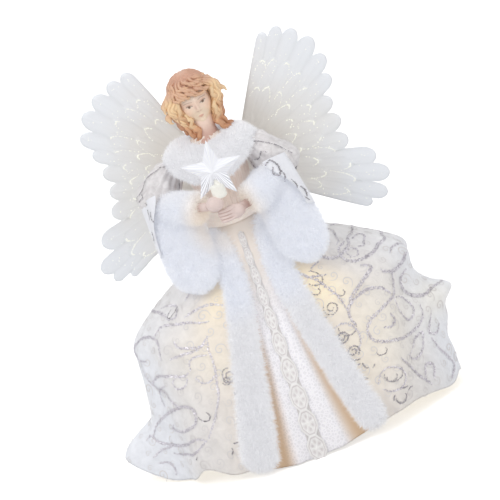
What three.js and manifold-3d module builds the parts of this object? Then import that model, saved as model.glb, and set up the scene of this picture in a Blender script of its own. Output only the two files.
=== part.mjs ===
// An angel tree topper: a doll with a resin head and hands, feathered plastic wings, a fur-trimmed dress and a
// lit star, built on a hollow bell-shaped former whose tube slips over the leading shoot of a tree.
// Millimetres, +Z up. The origin is the middle of the base plate's underside. The angel faces -Y and +X is her left.
import * as THREE from "three";
import { mergeVertices } from "three/addons/utils/BufferGeometryUtils.js";
import Module from "manifold-3d";

const wasm = await Module();
wasm.setup();

const V = (x, y, z) => new THREE.Vector3(x, y, z);
const radians = THREE.MathUtils.degToRad;
const lerp = THREE.MathUtils.lerp;
const smooth = (x, from = 0, to = 1) => THREE.MathUtils.smoothstep(x, from, to);
const bump = (x, centre, width) => Math.exp(-(((x - centre) / width) ** 2));

// Gaps between pieces
const SEAT_GAP = 0.3; // pieces that rest on each other or fit in each other
const CUT_GAP = 0.4; // soft pieces that are shaped by what they lie on
const PIN_GAP = 0.1; // hinge pins in their holes

// Base plate, the tube for the tree's shoot, and the bell that carries the skirt
const BASE_RADIUS = 78;
const PLATE = 3;
const RIM_HEIGHT = 5;
const RIM_WALL = 1.6;
const FLOOR_RECESS = 0.6; // what hangs in the plate's holes stays this far above the floor
const FORMER_WALL = 1.6;
const FORMER_TOP_RADIUS = 15;
const FORMER_SWELL = 1.3; // higher is slimmer under the waist
const WAIST_Z = 178;
const LEADER_MOUTH_RADIUS = 13;
const LEADER_TIP_RADIUS = 10;
const LEADER_LENGTH = 110;
const LEADER_WALL = 1.5;
const LEADER_FLANGE = 4;
const FLANGE_THICKNESS = 1.6;
const BELL_FACETS = 24;
const BELL_STEPS = 7;

// Battery tray for AA cells, its door and the slide switch, all in the base plate
const CELL_COUNT = 2;
const CELL_RADIUS = 7.1;
const CELL_LENGTH = 49.3;
const NUB_RADIUS = 2.6;
const NUB_LENGTH = 1.2;
const CELL_SPACING = 0.8;
const CONTACT_ROOM = 3.2;
const CONTACT_SHEET = 0.5;
const CONTACT_WIDTH = 9;
const TRAY_WALL = 1.5;
const TRAY_STANDOFF = 2; // from the leader tube's flange
const DOOR_THICKNESS = 2;
const DOOR_PIN_RADIUS = 0.5;
const DOOR_PIN_REACH = 3;
const FINGER_NOTCH_RADIUS = 5;
const SWITCH_OFFSET = 32; // in front of the axis
const SWITCH_TRAVEL = 4;
const KNOB_LENGTH = 5;
const KNOB_WIDTH = 4;
const SWITCH_WALL = 2;
const SWITCH_HEIGHT = 6;

// Lamps through the bell's wall, and their lead
const LAMP_RADIUS = 2.5;
const LAMP_DOME_LENGTH = 6;
const LAMP_FLANGE_WIDTH = 0.8;
const LAMP_FLANGE_THICKNESS = 3;
const LAMPS_PER_ROW = 4;
const UPPER_LAMPS = { z: 104, firstTurn: 45 };
const LOWER_LAMPS = { z: 66, firstTurn: 75 };
const LEAD_RADIUS = 0.9;

// Torso, bodice and sash
const TORSO_HEIGHT = 70;
const WAIST_HALF_WIDTH = 16.5;
const WAIST_HALF_DEPTH = 12.5;
const CHEST_HALF_WIDTH = 22;
const CHEST_HALF_DEPTH = 16;
const SHOULDER_HALF_WIDTH = 28;
const SHOULDER_HALF_DEPTH = 12.5;
const NECK_RADIUS = 7.5;
const NECK_PLUG_RADIUS = 5.5;
const NECK_PLUG_LENGTH = 9;
const SPIGOT_LENGTH = 12;
const CLOTH = 1;
const BODICE_BULK = 1.6; // cloth and pleats
const BODICE_FROM = 12; // above the waist
const BODICE_TO = 44;
const SASH_HEIGHT = 7;
const SASH_FROM = 4.5;

// Head
const HEAD_RADII = V(13.6, 16, 18);
const HAIR_RADII = V(21, 19.5, 19.6);
const HAIR_FLARE = 3.4; // how much the curls stand out below the ears
const HEAD_ABOVE_NECK = 33; // from the torso's top to the middle of the head
const HEAD_BOW = 7; // degrees, chin down
const HEAD_TURN = 6; // degrees towards her left
const LOCK_COUNT = 10;
const LOCK_RADIUS = 4.4;
const LOCK_LENGTH = 27;

// Arms, hands, sleeves and cuffs
const ARM_WIRE_RADIUS = 1.3;
const SHOULDER_BELOW_NECK = 16; // from the torso's top to the arms' wire
const FOREARM_RADIUS = 5;
const WRIST_RADIUS = 3.7;
const HAND_LENGTH = 15;
const HAND_HALF_HEIGHT = 3.8;
const HAND_HALF_WIDTH = 5;
const FINGER_RADIUS = 1.5;
const SLEEVE_SHOULDER_RADIUS = 9;
const SLEEVE_PUFF_RADIUS = 15;
const SLEEVE_OVERHANG = 5; // past the elbow
const CUFF_HALF_WIDTH = 19;
const CUFF_HALF_DEPTH = 12.5;
// Bends of each arm and the ends of the cuff's middle line, from the middle of the waist
const ARMS = [
  {
    side: "left",
    sign: 1,
    elbow: V(54, -8, 28),
    wireEnd: V(33, -29, 20.5),
    hand: V(6.5, -47, 15.6),
    cuffTop: V(34, -14, 36),
    cuffFoot: V(53, -46, -39),
  },
  {
    side: "right",
    sign: -1,
    elbow: V(-58, -8, 30),
    wireEnd: V(-33, -29, 26),
    hand: V(-0.5, -47, 24.2),
    cuffTop: V(-41, -13, 37),
    cuffFoot: V(-34, -50, -36),
  },
];

// Collar
const COLLAR_HALF_WIDTH = 38;
const COLLAR_FRONT = 30;
const COLLAR_BACK = 25;
const COLLAR_PILE = 5.5;
const COLLAR_DROP_FRONT = 35; // below the torso's top
const COLLAR_DROP_SIDE = 17;
const COLLAR_DROP_BACK = 16;

// Star and its candle-shaped stand
const STAR_TIP_RADIUS = 22.5;
const STAR_NOTCH_RADIUS = 9.5;
const STAR_HALF_THICKNESS = 6;
const STAR_WALL = 1.2;
const STAR_POINTS = 5;
const CANDLE_RADIUS = 5.6;
const CANDLE_HEIGHT = 11;
const STAR_LAMP_LENGTH = 8;
const STAR_FORWARD = 51;
const STAR_SIDEWAYS = 5;
const STAR_TILT = 6; // degrees, its top towards her left

// Skirt
const SKIRT_TURN = 9; // degrees, how far the dress has slewed round the bell towards her left
const SKIRT_TOP_HALF_WIDTH = 20.5;
const SKIRT_TOP_DEPTH = 17.5;
const HEM_HALF_WIDTH_LEFT = 125;
const HEM_HALF_WIDTH_RIGHT = 112;
const HEM_FRONT = 97;
const HEM_BACK = 90;
const HEM_CLEARANCE = 1;
// The share of the way down where each side has swelled out
const HIP_SHARE_LEFT = 0.42;
const HIP_SHARE_RIGHT = 0.44;
const FOLD_COUNT = 9;
const FOLD_DEPTH = 6;
const LEFT_BILLOW = 15;
const RIGHT_BILLOW = 24;
const RIGHT_HEM_LIFT = 20;
const OPENING_TOP_HALF_WIDTH = 6;
const OPENING_HEM_HALF_WIDTH = 52;
const PANEL_INSET = 3;
const PANEL_PLEAT_DEPTH = 2.2;
const PANEL_TUCK = 3;
const LACE_TOP_WIDTH = 6;
const LACE_HEM_WIDTH = 14;
const LACE_SHEET = 0.6;
const TRIM_TOP_HALF_WIDTH = 6;
const TRIM_HEM_HALF_WIDTH = 12;
const TRIM_PILE = 6;
const TRIM_FROM = 0.1; // share of the way down the skirt

// Wings and their hinge bracket
const WING_ROOT_ABOVE_WAIST = 27;
const WING_ROOT_BACK = 31;
const WING_LEAN = 8; // degrees, tops to the back
// Degrees that each wing's tip stands to the back
const WING_SWEEP = { left: 11, right: 3 };
const HINGE_HALF_SPACING = 9;
const BARREL_RADIUS = 3;
const BARREL_LENGTH = 26;
const WING_PIN_RADIUS = 1.1;
const BRACKET_PAD = 2.5;
const BRACKET_PAD_BACK = 8; // from the pad's outer face to the hinge line
const EAR_THICKNESS = 2.5;
const EAR_RADIUS = 4;
const SCREW_RADIUS = 1.3;
const SCREW_HEAD_RADIUS = 2.6;
const SCREW_LENGTH = 8;
const SCREW_SPACING = 14;
// Long feathers from the top of the wing to its foot: degrees above level, and length from the wing's root
const FEATHERS = [
  [64, 103],
  [58, 112],
  [51, 115],
  [44, 115],
  [36, 110],
  [28, 101],
  [19.5, 91],
  [9.5, 86],
  [-1.5, 88],
  [-12, 104],
  [-19, 115],
  [-26, 114],
  [-32.5, 107],
];
const FEATHER_WIDTH = 17;
const FEATHER_ROOT_WIDTH = 7;
const FEATHER_START = 18;
const WING_PLATE = 1.5;
const FEATHER_LAP = 0.3; // how much every second feather stands out
const COVERT_COUNT = 9;
const COVERT_WIDTH = 14;
const COVERT_SHARE = 0.66;
const COVERT_STEP = 0.8;

// Materials
const finish = (color, roughness, metalness = 0) =>
  new THREE.MeshStandardMaterial({ color, roughness, metalness });
const PLASTIC_WHITE = finish(0xf2efe6, 0.45);
const PLASTIC_PEARL = finish(0xf1efe8, 0.3);
const RESIN = finish(0xe9c3a4, 0.5);
const RESIN_SKIN = finish(0xd9b7a8, 0.5);
const FUR = finish(0xf7f6f4, 0.95);
const ORGANZA = finish(0xf0ecec, 0.5);
const SATIN = finish(0xf5efe6, 0.4);
const LACE = finish(0xe6dfe0, 0.7);
const SILVER_CLOTH = finish(0xd9d4d6, 0.4, 0.3);
const BEIGE_CLOTH = finish(0xe2cfc0, 0.6);
const GLOW = finish(0xfff8e0, 0.3);
const STEEL = finish(0xb8b8b8, 0.35, 1);
const CELL_JACKET = finish(0x3a5f46, 0.4);
const SWITCH_BLACK = finish(0x2b2b2b, 0.5);

// Solids: closed meshes, joined and cut

// A closed mesh with its shared vertices merged and its faces turned outwards.
function solid(geometry) {
  const bare = geometry.index ? geometry.clone() : geometry;
  bare.deleteAttribute("normal");
  bare.deleteAttribute("uv");
  const merged = mergeVertices(bare, 1e-3);
  const vertProperties = merged.attributes.position.array;
  const triVerts = new Uint32Array(merged.index.array);
  const [a, b, c] = [V(), V(), V()];
  let volume = 0;
  for (let i = 0; i < triVerts.length; i += 3) {
    a.fromArray(vertProperties, triVerts[i] * 3);
    b.fromArray(vertProperties, triVerts[i + 1] * 3);
    c.fromArray(vertProperties, triVerts[i + 2] * 3);
    volume += a.dot(b.cross(c));
  }
  if (volume < 0) triVerts.reverse();
  return new wasm.Manifold(new wasm.Mesh({ numProp: 3, vertProperties, triVerts }));
}

function geometryOf(manifold) {
  const mesh = manifold.getMesh();
  const geometry = new THREE.BufferGeometry();
  geometry.setAttribute("position", new THREE.BufferAttribute(mesh.vertProperties, 3));
  geometry.setIndex(new THREE.BufferAttribute(mesh.triVerts, 1));
  geometry.computeVertexNormals();
  return geometry;
}

const join = (...pieces) => pieces.reduce((whole, piece) => whole.add(piece));
const cut = (whole, ...tools) => tools.reduce((left, tool) => left.subtract(tool), whole);
// The largest body of a piece, without slivers and pinched-off pockets.
const largest = (piece) => piece.decompose().reduce((a, b) => (b.volume() > a.volume() ? b : a));

// A mesh from rings of points: neighbours are joined, and the two ends are capped unless the rings close on themselves.
function skin(rings, closes = false) {
  const count = rings[0].length;
  const points = rings.flat();
  const faces = [];
  const quad = (p, q, r, s) => faces.push(p, q, r, p, r, s);
  const last = closes ? rings.length : rings.length - 1;
  for (let i = 0; i < last; i += 1) {
    const next = (i + 1) % rings.length;
    for (let j = 0; j < count; j += 1) {
      const k = (j + 1) % count;
      quad(i * count + j, i * count + k, next * count + k, next * count + j);
    }
  }
  if (!closes) {
    for (const [ring, first] of [
      [0, true],
      [rings.length - 1, false],
    ]) {
      const middle = points.length;
      points.push(rings[ring].reduce((sum, p) => sum.add(p), V(0, 0, 0)).divideScalar(count));
      for (let j = 0; j < count; j += 1) {
        const k = (j + 1) % count;
        const [p, q] = [ring * count + j, ring * count + k];
        faces.push(middle, first ? q : p, first ? p : q);
      }
    }
  }
  const geometry = new THREE.BufferGeometry().setFromPoints(points);
  geometry.setIndex(faces);
  return geometry;
}

// A sheet with a thickness: two grids of points, outer and inner, joined along their borders.
function sheet(across, down, outer, inner) {
  const ring = (row) => {
    const points = [];
    for (let i = 0; i <= across; i += 1) points.push(outer(i / across, row));
    for (let i = across; i >= 0; i -= 1) points.push(inner(i / across, row));
    return points;
  };
  const rows = Array.from({ length: down + 1 }, (_, j) => ring(j / down));
  const count = 2 * (across + 1);
  const faces = [];
  const quad = (p, q, r, s) => faces.push(p, q, r, p, r, s);
  for (let j = 0; j < down; j += 1) {
    for (let i = 0; i < count; i += 1) {
      const k = (i + 1) % count;
      quad(j * count + i, j * count + k, (j + 1) * count + k, (j + 1) * count + i);
    }
  }
  for (let i = 0; i < across; i += 1) {
    quad(i + 1, i, count - 1 - i, count - 2 - i);
    const end = down * count;
    quad(end + i, end + i + 1, end + count - 2 - i, end + count - 1 - i);
  }
  const geometry = new THREE.BufferGeometry().setFromPoints(rows.flat());
  geometry.setIndex(faces);
  return geometry;
}

// A body of revolution about +Z from [radius, height] pairs that close on themselves or end on the axis.
function turned(profile, segments = 40) {
  const points = profile.map(([r, z]) => new THREE.Vector2(r, z));
  return new THREE.LatheGeometry(points, segments).rotateX(Math.PI / 2);
}

const rod = (radius, length, sides = 16) =>
  new THREE.CylinderGeometry(radius, radius, length, sides).rotateX(Math.PI / 2);

function block(from, to) {
  const size = to.clone().sub(from);
  const middle = from.clone().add(to).multiplyScalar(0.5);
  return new THREE.BoxGeometry(size.x, size.y, size.z).translate(middle.x, middle.y, middle.z);
}

// A wire of one thickness along a curve.
function wire(curve, radius, steps, sides = 8) {
  const points = Array.from({ length: sides }, (_, j) => {
    const turn = (2 * Math.PI * j) / sides;
    return new THREE.Vector2(radius * Math.cos(turn), radius * Math.sin(turn));
  });
  const shape = new THREE.Shape(points);
  return new THREE.ExtrudeGeometry(shape, { steps, extrudePath: curve, bevelEnabled: false });
}

// A limb along a curve whose half-width and half-height follow the share of the way along it.
function limb(curve, steps, sides, halfWidth, halfHeight = halfWidth) {
  const rings = [];
  for (let i = 0; i <= steps; i += 1) {
    const share = i / steps;
    const middle = curve.getPointAt(share);
    const along = curve.getTangentAt(share);
    const level = V(0, 0, 1).cross(along).normalize();
    const up = along.clone().cross(level);
    const ring = [];
    for (let j = 0; j < sides; j += 1) {
      const turn = (2 * Math.PI * j) / sides;
      const offset = level.clone().multiplyScalar(Math.cos(turn) * halfWidth(share));
      offset.addScaledVector(up, Math.sin(turn) * halfHeight(share));
      ring.push(middle.clone().add(offset));
    }
    rings.push(ring);
  }
  return skin(rings);
}

// The outline of a rounded end: 1 along most of the length, and 0 at both ends.
const rounded = (share, end = 0.2) =>
  Math.sqrt(Math.max(0.02, 1 - Math.max(0, 1 - Math.min(share, 1 - share) / end) ** 2));

const topper = new THREE.Group();

function add(name, shape, material, parent = topper) {
  const geometry = shape.isBufferGeometry ? geometryOf(solid(shape)) : geometryOf(shape);
  const mesh = new THREE.Mesh(geometry, material);
  mesh.name = name;
  parent.add(mesh);
  return mesh;
}

// Base plate, leader tube and bell

const leaderOuter = LEADER_MOUTH_RADIUS + LEADER_WALL;
const flangeRadius = leaderOuter + LEADER_FLANGE;
const seatZ = PLATE + SEAT_GAP;

const cellPitch = 2 * CELL_RADIUS + CELL_SPACING;
const trayHalfLength = CELL_LENGTH / 2 + NUB_LENGTH + CONTACT_ROOM;
const trayFrontY = flangeRadius + TRAY_STANDOFF + TRAY_WALL;
const trayRearY = trayFrontY + CELL_COUNT * cellPitch + CELL_SPACING;
const trayRoofZ = seatZ + 2 * CELL_RADIUS + 2 * CELL_SPACING;
const cellY = (index) => trayFrontY + CELL_SPACING + CELL_RADIUS + index * cellPitch;
const cellZ = seatZ + SEAT_GAP + CELL_RADIUS;
const doorHingeY = trayRearY - SEAT_GAP - DOOR_THICKNESS / 2;
const doorHingeZ = FLOOR_RECESS + DOOR_THICKNESS / 2;
const slotHalfLength = (KNOB_LENGTH + SWITCH_TRAVEL) / 2 + SEAT_GAP;
const slotHalfWidth = KNOB_WIDTH / 2 + SEAT_GAP;

function basePlate() {
  const rimOuter = formerRadius(PLATE + RIM_HEIGHT) - FORMER_WALL - SEAT_GAP;
  const rimInner = rimOuter - RIM_WALL;
  const hole = leaderOuter + SEAT_GAP;
  const disc = turned([
    [hole, 0],
    [BASE_RADIUS, 0],
    [BASE_RADIUS, PLATE],
    [rimOuter, PLATE],
    [rimOuter, PLATE + RIM_HEIGHT],
    [rimInner, PLATE + RIM_HEIGHT],
    [rimInner, PLATE],
    [hole, PLATE],
    [hole, 0],
  ], BELL_FACETS);
  const through = 1;
  const batteryWindow = block(
    V(-trayHalfLength, trayFrontY, -through),
    V(trayHalfLength, trayRearY, PLATE + through),
  );
  const fingerNotch = rod(FINGER_NOTCH_RADIUS, PLATE + 2 * through).translate(0, trayFrontY, PLATE / 2);
  const switchSlot = block(
    V(-slotHalfLength, -SWITCH_OFFSET - slotHalfWidth, -through),
    V(slotHalfLength, -SWITCH_OFFSET + slotHalfWidth, PLATE + through),
  );
  const pinHole = rod(DOOR_PIN_RADIUS + PIN_GAP, 2 * (trayHalfLength + DOOR_PIN_REACH), 12)
    .rotateY(Math.PI / 2)
    .translate(0, doorHingeY, doorHingeZ);
  return cut(solid(disc), ...[batteryWindow, fingerNotch, switchSlot, pinHole].map(solid));
}

function leaderTube() {
  const flangeTop = seatZ + FLANGE_THICKNESS;
  return turned([
    [LEADER_MOUTH_RADIUS, FLOOR_RECESS],
    [leaderOuter, FLOOR_RECESS],
    [leaderOuter, seatZ],
    [flangeRadius, seatZ],
    [flangeRadius, flangeTop],
    [leaderOuter, flangeTop],
    [LEADER_TIP_RADIUS + LEADER_WALL, LEADER_LENGTH],
    [LEADER_TIP_RADIUS, LEADER_LENGTH],
    [LEADER_MOUTH_RADIUS, FLOOR_RECESS],
  ], 20);
}

// The bell's outer radius at a height, straight between the rings that it is drawn with.
const bellRings = Array.from({ length: BELL_STEPS + 1 }, (_, i) => {
  const down = 1 - i / BELL_STEPS;
  const swell = Math.sin((Math.PI / 2) * down) ** FORMER_SWELL;
  return [lerp(FORMER_TOP_RADIUS, BASE_RADIUS, swell), lerp(seatZ, WAIST_Z, i / BELL_STEPS)];
});
function formerRadius(z) {
  const place = THREE.MathUtils.clamp((BELL_STEPS * (z - seatZ)) / (WAIST_Z - seatZ), 0, BELL_STEPS);
  const low = Math.min(Math.floor(place), BELL_STEPS - 1);
  return lerp(bellRings[low][0], bellRings[low + 1][0], place - low);
}

// Where a lamp's axis leaves the bell's wall, and the wall's outward direction there.
function formerSpot(turnDegrees, z) {
  const turn = radians(turnDegrees);
  const step = 0.5;
  const slope = (formerRadius(z + step) - formerRadius(z - step)) / (2 * step);
  const out = V(Math.sin(turn), -Math.cos(turn), -slope).normalize();
  const radius = formerRadius(z);
  return { point: V(radius * Math.sin(turn), -radius * Math.cos(turn), z), out };
}

// The lamps' spots in two rows, named by number.
const lampSpots = [UPPER_LAMPS, LOWER_LAMPS].flatMap(({ z, firstTurn }) =>
  Array.from({ length: LAMPS_PER_ROW }, (_, i) => ({
    turn: firstTurn + (360 / LAMPS_PER_ROW) * i,
    z,
    ...formerSpot(firstTurn + (360 / LAMPS_PER_ROW) * i, z),
  })),
);

// Turns a piece made along +Z to point along a direction, and moves it to a place.
function aim(geometry, place, direction) {
  const turn = new THREE.Quaternion().setFromUnitVectors(V(0, 0, 1), direction);
  return geometry.applyQuaternion(turn).translate(place.x, place.y, place.z);
}

function former() {
  const inner = bellRings.map(([radius, z]) => [radius - FORMER_WALL, z]).reverse();
  const bell = solid(turned([...bellRings, ...inner, bellRings[0]], BELL_FACETS));
  const holes = lampSpots.map(({ point, out }) =>
    solid(aim(rod(LAMP_RADIUS + SEAT_GAP, 6 * FORMER_WALL, 8), point, out)),
  );
  return cut(bell, ...holes);
}

// A lamp along +Z, with its flange behind the wall's inner face.
function lamp() {
  const flangeFront = -FORMER_WALL - 2 * SEAT_GAP;
  const flangeBack = flangeFront - LAMP_FLANGE_THICKNESS;
  const shoulder = LAMP_DOME_LENGTH - LAMP_RADIUS;
  const dome = [LAMP_RADIUS * Math.SQRT1_2, shoulder + LAMP_RADIUS * Math.SQRT1_2];
  return turned(
    [
      [0, flangeBack],
      [LAMP_RADIUS + LAMP_FLANGE_WIDTH, flangeBack],
      [LAMP_RADIUS + LAMP_FLANGE_WIDTH, flangeFront],
      [LAMP_RADIUS, flangeFront],
      [LAMP_RADIUS, shoulder],
      dome,
      [0, LAMP_DOME_LENGTH],
    ],
    8,
  );
}

// The lead runs round behind the lamps of the upper row, then of the lower row, and ends on the battery tray's roof.
function lampLead() {
  const tail = FORMER_WALL + 3 * SEAT_GAP + LAMP_FLANGE_THICKNESS + LEAD_RADIUS;
  const spacing = 360 / LAMPS_PER_ROW;
  const upperStart = UPPER_LAMPS.firstTurn - spacing;
  const upperEnd = upperStart + 360 - spacing;
  const rowsApart = Math.floor((upperEnd - LOWER_LAMPS.firstTurn) / spacing) + 1;
  const lowerStart = LOWER_LAMPS.firstTurn + rowsApart * spacing;
  const stops = [];
  const stepsPerLamp = 3;
  for (const [start, z] of [
    [upperStart, UPPER_LAMPS.z],
    [lowerStart, LOWER_LAMPS.z],
  ]) {
    const steps = (LAMPS_PER_ROW - 1) * stepsPerLamp;
    for (let i = 0; i <= steps; i += 1) stops.push([start + (spacing * i) / stepsPerLamp, z]);
  }
  const points = stops.map(([turn, z]) => {
    const { point, out } = formerSpot(turn, z);
    return point.addScaledVector(out, -tail);
  });
  const landing = V(0, (trayFrontY + trayRearY) / 2, trayRoofZ + TRAY_WALL + SEAT_GAP);
  points.push(landing.clone().add(V(0, 0, 3 * LEAD_RADIUS)), landing);
  return wire(new THREE.CatmullRomCurve3(points, false, "centripetal"), LEAD_RADIUS, 42, 5);
}

// Battery tray, cells, contacts, door and switch

function batteryTray() {
  const outer = block(
    V(-trayHalfLength - TRAY_WALL, trayFrontY - TRAY_WALL, seatZ),
    V(trayHalfLength + TRAY_WALL, trayRearY + TRAY_WALL, trayRoofZ + TRAY_WALL),
  );
  const room = block(
    V(-trayHalfLength, trayFrontY, 0),
    V(trayHalfLength, trayRearY, trayRoofZ),
  );
  return cut(solid(outer), solid(room));
}

// A cell along X, its nub towards +X or, turned round, towards -X.
function cell(index) {
  const half = CELL_LENGTH / 2;
  const body = turned(
    [
      [0, -half],
      [CELL_RADIUS, -half],
      [CELL_RADIUS, half],
      [NUB_RADIUS, half],
      [NUB_RADIUS, half + NUB_LENGTH],
      [0, half + NUB_LENGTH],
    ],
    16,
  );
  const towards = index % 2 ? -1 : 1;
  return body.rotateY((Math.PI / 2) * towards).translate(0, cellY(index), cellZ);
}

// A sprung leaf of sheet metal that stands against the tray's end wall, at one end of one cell or across two.
function contact(end, fromY, toY, reach) {
  const foot = trayHalfLength - SEAT_GAP;
  const top = CELL_RADIUS * 1.6;
  const bend = CELL_RADIUS - SEAT_GAP;
  const leaf = new THREE.Shape();
  leaf.moveTo(foot, 0);
  leaf.lineTo(foot, top);
  leaf.lineTo(foot - CONTACT_SHEET, top);
  leaf.lineTo(foot - CONTACT_SHEET, bend + 2 * CONTACT_SHEET);
  leaf.lineTo(reach, bend);
  leaf.lineTo(foot - CONTACT_SHEET, bend - 2 * CONTACT_SHEET);
  leaf.lineTo(foot - CONTACT_SHEET, 0);
  const strip = new THREE.ExtrudeGeometry(leaf, { depth: toY - fromY, bevelEnabled: false });
  strip.rotateX(Math.PI / 2).translate(0, toY, seatZ + SEAT_GAP);
  return end > 0 ? strip : strip.scale(-1, 1, 1);
}

function batteryDoor() {
  const frontY = trayFrontY + SEAT_GAP;
  const halfLength = trayHalfLength - SEAT_GAP;
  const top = FLOOR_RECESS + DOOR_THICKNESS;
  const panel = block(V(-halfLength, frontY, FLOOR_RECESS), V(halfLength, doorHingeY, top));
  const along = (radius, length, sides) =>
    solid(rod(radius, length, sides).rotateY(Math.PI / 2).translate(0, doorHingeY, doorHingeZ));
  const knuckle = along(DOOR_THICKNESS / 2, 2 * halfLength, 16);
  const ribs = [-1, 0, 1].map((place) => {
    const y = lerp(frontY, doorHingeY, 0.3 + 0.1 * place);
    return solid(block(V(-halfLength / 2, y - 0.6, FLOOR_RECESS - 0.3), V(halfLength / 2, y + 0.6, top)));
  });
  return cut(join(solid(panel), knuckle, ...ribs), along(DOOR_PIN_RADIUS + PIN_GAP, 3 * halfLength, 12));
}

const doorPin = () =>
  rod(DOOR_PIN_RADIUS, 2 * (trayHalfLength + DOOR_PIN_REACH - SEAT_GAP), 10)
    .rotateY(Math.PI / 2)
    .translate(0, doorHingeY, doorHingeZ);

const knobTopZ = seatZ + SWITCH_HEIGHT / 2;

function switchBody() {
  const half = V(slotHalfLength + SWITCH_WALL, slotHalfWidth + SWITCH_WALL, 0);
  const housing = block(
    V(-half.x, -SWITCH_OFFSET - half.y, seatZ),
    V(half.x, -SWITCH_OFFSET + half.y, seatZ + SWITCH_HEIGHT),
  );
  const groove = block(
    V(-slotHalfLength, -SWITCH_OFFSET - slotHalfWidth, 0),
    V(slotHalfLength, -SWITCH_OFFSET + slotHalfWidth, knobTopZ + SEAT_GAP),
  );
  return cut(solid(housing), solid(groove));
}

// The knob rests at the end of its slot on her left, switched on.
function switchKnob() {
  const right = slotHalfLength - SEAT_GAP;
  const left = right - KNOB_LENGTH;
  const knob = block(
    V(left, -SWITCH_OFFSET - KNOB_WIDTH / 2, FLOOR_RECESS),
    V(right, -SWITCH_OFFSET + KNOB_WIDTH / 2, knobTopZ),
  );
  const grip = rod(KNOB_LENGTH / 5, KNOB_WIDTH * 2, 12)
    .rotateX(Math.PI / 2)
    .translate((left + right) / 2, -SWITCH_OFFSET, FLOOR_RECESS);
  return cut(solid(knob), solid(grip));
}

// Torso and wing boss

const torsoZ = WAIST_Z + SEAT_GAP;
const torsoTopZ = torsoZ + TORSO_HEIGHT;

// Half-width and half-depth of the torso at a share of its height.
function torsoRadii(share) {
  const toChest = smooth(share, 0.08, 0.55);
  const toShoulder = smooth(share, 0.55, 0.8);
  const toNeck = smooth(share, 0.82, 1);
  let wide = lerp(WAIST_HALF_WIDTH, CHEST_HALF_WIDTH, toChest);
  wide = lerp(wide, SHOULDER_HALF_WIDTH, toShoulder);
  let deep = lerp(WAIST_HALF_DEPTH, CHEST_HALF_DEPTH, toChest);
  deep = lerp(deep, SHOULDER_HALF_DEPTH, toShoulder);
  const neck = NECK_RADIUS + 2;
  return [lerp(wide, neck, toNeck), lerp(deep, neck, toNeck)];
}

const oval = (halfWidth, halfDepth, z, sides) =>
  Array.from({ length: sides }, (_, j) => {
    const turn = (2 * Math.PI * j) / sides;
    return V(halfWidth * Math.sin(turn), -halfDepth * Math.cos(turn), z);
  });

function torsoForm(grow = 0) {
  const steps = 8;
  const rings = [];
  for (let i = 0; i <= steps; i += 1) {
    const [wide, deep] = torsoRadii(i / steps);
    const end = i === 0 ? -grow : i === steps ? grow : 0;
    rings.push(oval(wide + grow, deep + grow, torsoZ + (TORSO_HEIGHT * i) / steps + end, 16));
  }
  return solid(skin(rings));
}

const wingRoot = V(0, WING_ROOT_BACK, WAIST_Z + WING_ROOT_ABOVE_WAIST);
const padBackY = -BRACKET_PAD_BACK;
const bossBackY = padBackY - BRACKET_PAD - SEAT_GAP;
const padHalfHeight = BARREL_LENGTH / 2;
const bossHalfWidth = HINGE_HALF_SPACING;

// Brings a geometry from the wings' leaning frame into the part's frame.
const leaned = (geometry) =>
  geometry.rotateX(radians(-WING_LEAN)).translate(wingRoot.x, wingRoot.y, wingRoot.z);

const wingBoss = (grow = 0) =>
  solid(
    leaned(
      block(
        V(-bossHalfWidth - grow, -WING_ROOT_BACK, -padHalfHeight - grow),
        V(bossHalfWidth + grow, bossBackY, padHalfHeight + grow),
      ),
    ),
  );

const screwOffsets = [SCREW_SPACING / 2, -SCREW_SPACING / 2];
// A screw hole along Y through the bracket's pad and into the boss, in the wings' frame.
const screwHole = (z) =>
  rod(SCREW_RADIUS + PIN_GAP, 2 * (SCREW_LENGTH + SEAT_GAP), 12)
    .rotateX(Math.PI / 2)
    .translate(0, padBackY - SEAT_GAP, z);

const armZ = torsoTopZ - SHOULDER_BELOW_NECK;
const fromWaist = (point) => point.clone().add(V(0, 0, WAIST_Z));

const armCurve = (() => {
  const shoulder = (sign) => V(sign * (SHOULDER_HALF_WIDTH + 3), 0, armZ);
  const [left, right] = ARMS;
  return new THREE.CatmullRomCurve3(
    [
      fromWaist(right.wireEnd),
      fromWaist(right.elbow),
      shoulder(-1),
      V(0, 0, armZ),
      shoulder(1),
      fromWaist(left.elbow),
      fromWaist(left.wireEnd),
    ],
    false,
    "centripetal",
  );
})();
// The wire through both arms, or its channel: grown, and longer at both ends.
function armWire(grow = 0) {
  const steps = 24;
  const points = Array.from({ length: steps + 1 }, (_, i) => armCurve.getPointAt(i / steps));
  points[0].addScaledVector(armCurve.getTangentAt(0), -grow);
  points[steps].addScaledVector(armCurve.getTangentAt(1), grow);
  return solid(wire(new THREE.CatmullRomCurve3(points), ARM_WIRE_RADIUS + grow, steps, 6));
}

function torso() {
  const spigotRadius = FORMER_TOP_RADIUS - FORMER_WALL - SEAT_GAP;
  const spigot = rod(spigotRadius, SPIGOT_LENGTH + 2, 24).translate(0, 0, torsoZ + 1 - SPIGOT_LENGTH / 2);
  const socketDepth = NECK_PLUG_LENGTH + SEAT_GAP;
  const socket = rod(NECK_PLUG_RADIUS + SEAT_GAP, 2 * socketDepth, 20).translate(0, 0, torsoTopZ);
  const whole = join(torsoForm(), wingBoss(), solid(spigot));
  const holes = screwOffsets.map((z) => solid(leaned(screwHole(z))));
  return cut(whole, solid(socket), armWire(SEAT_GAP), ...holes);
}

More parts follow.
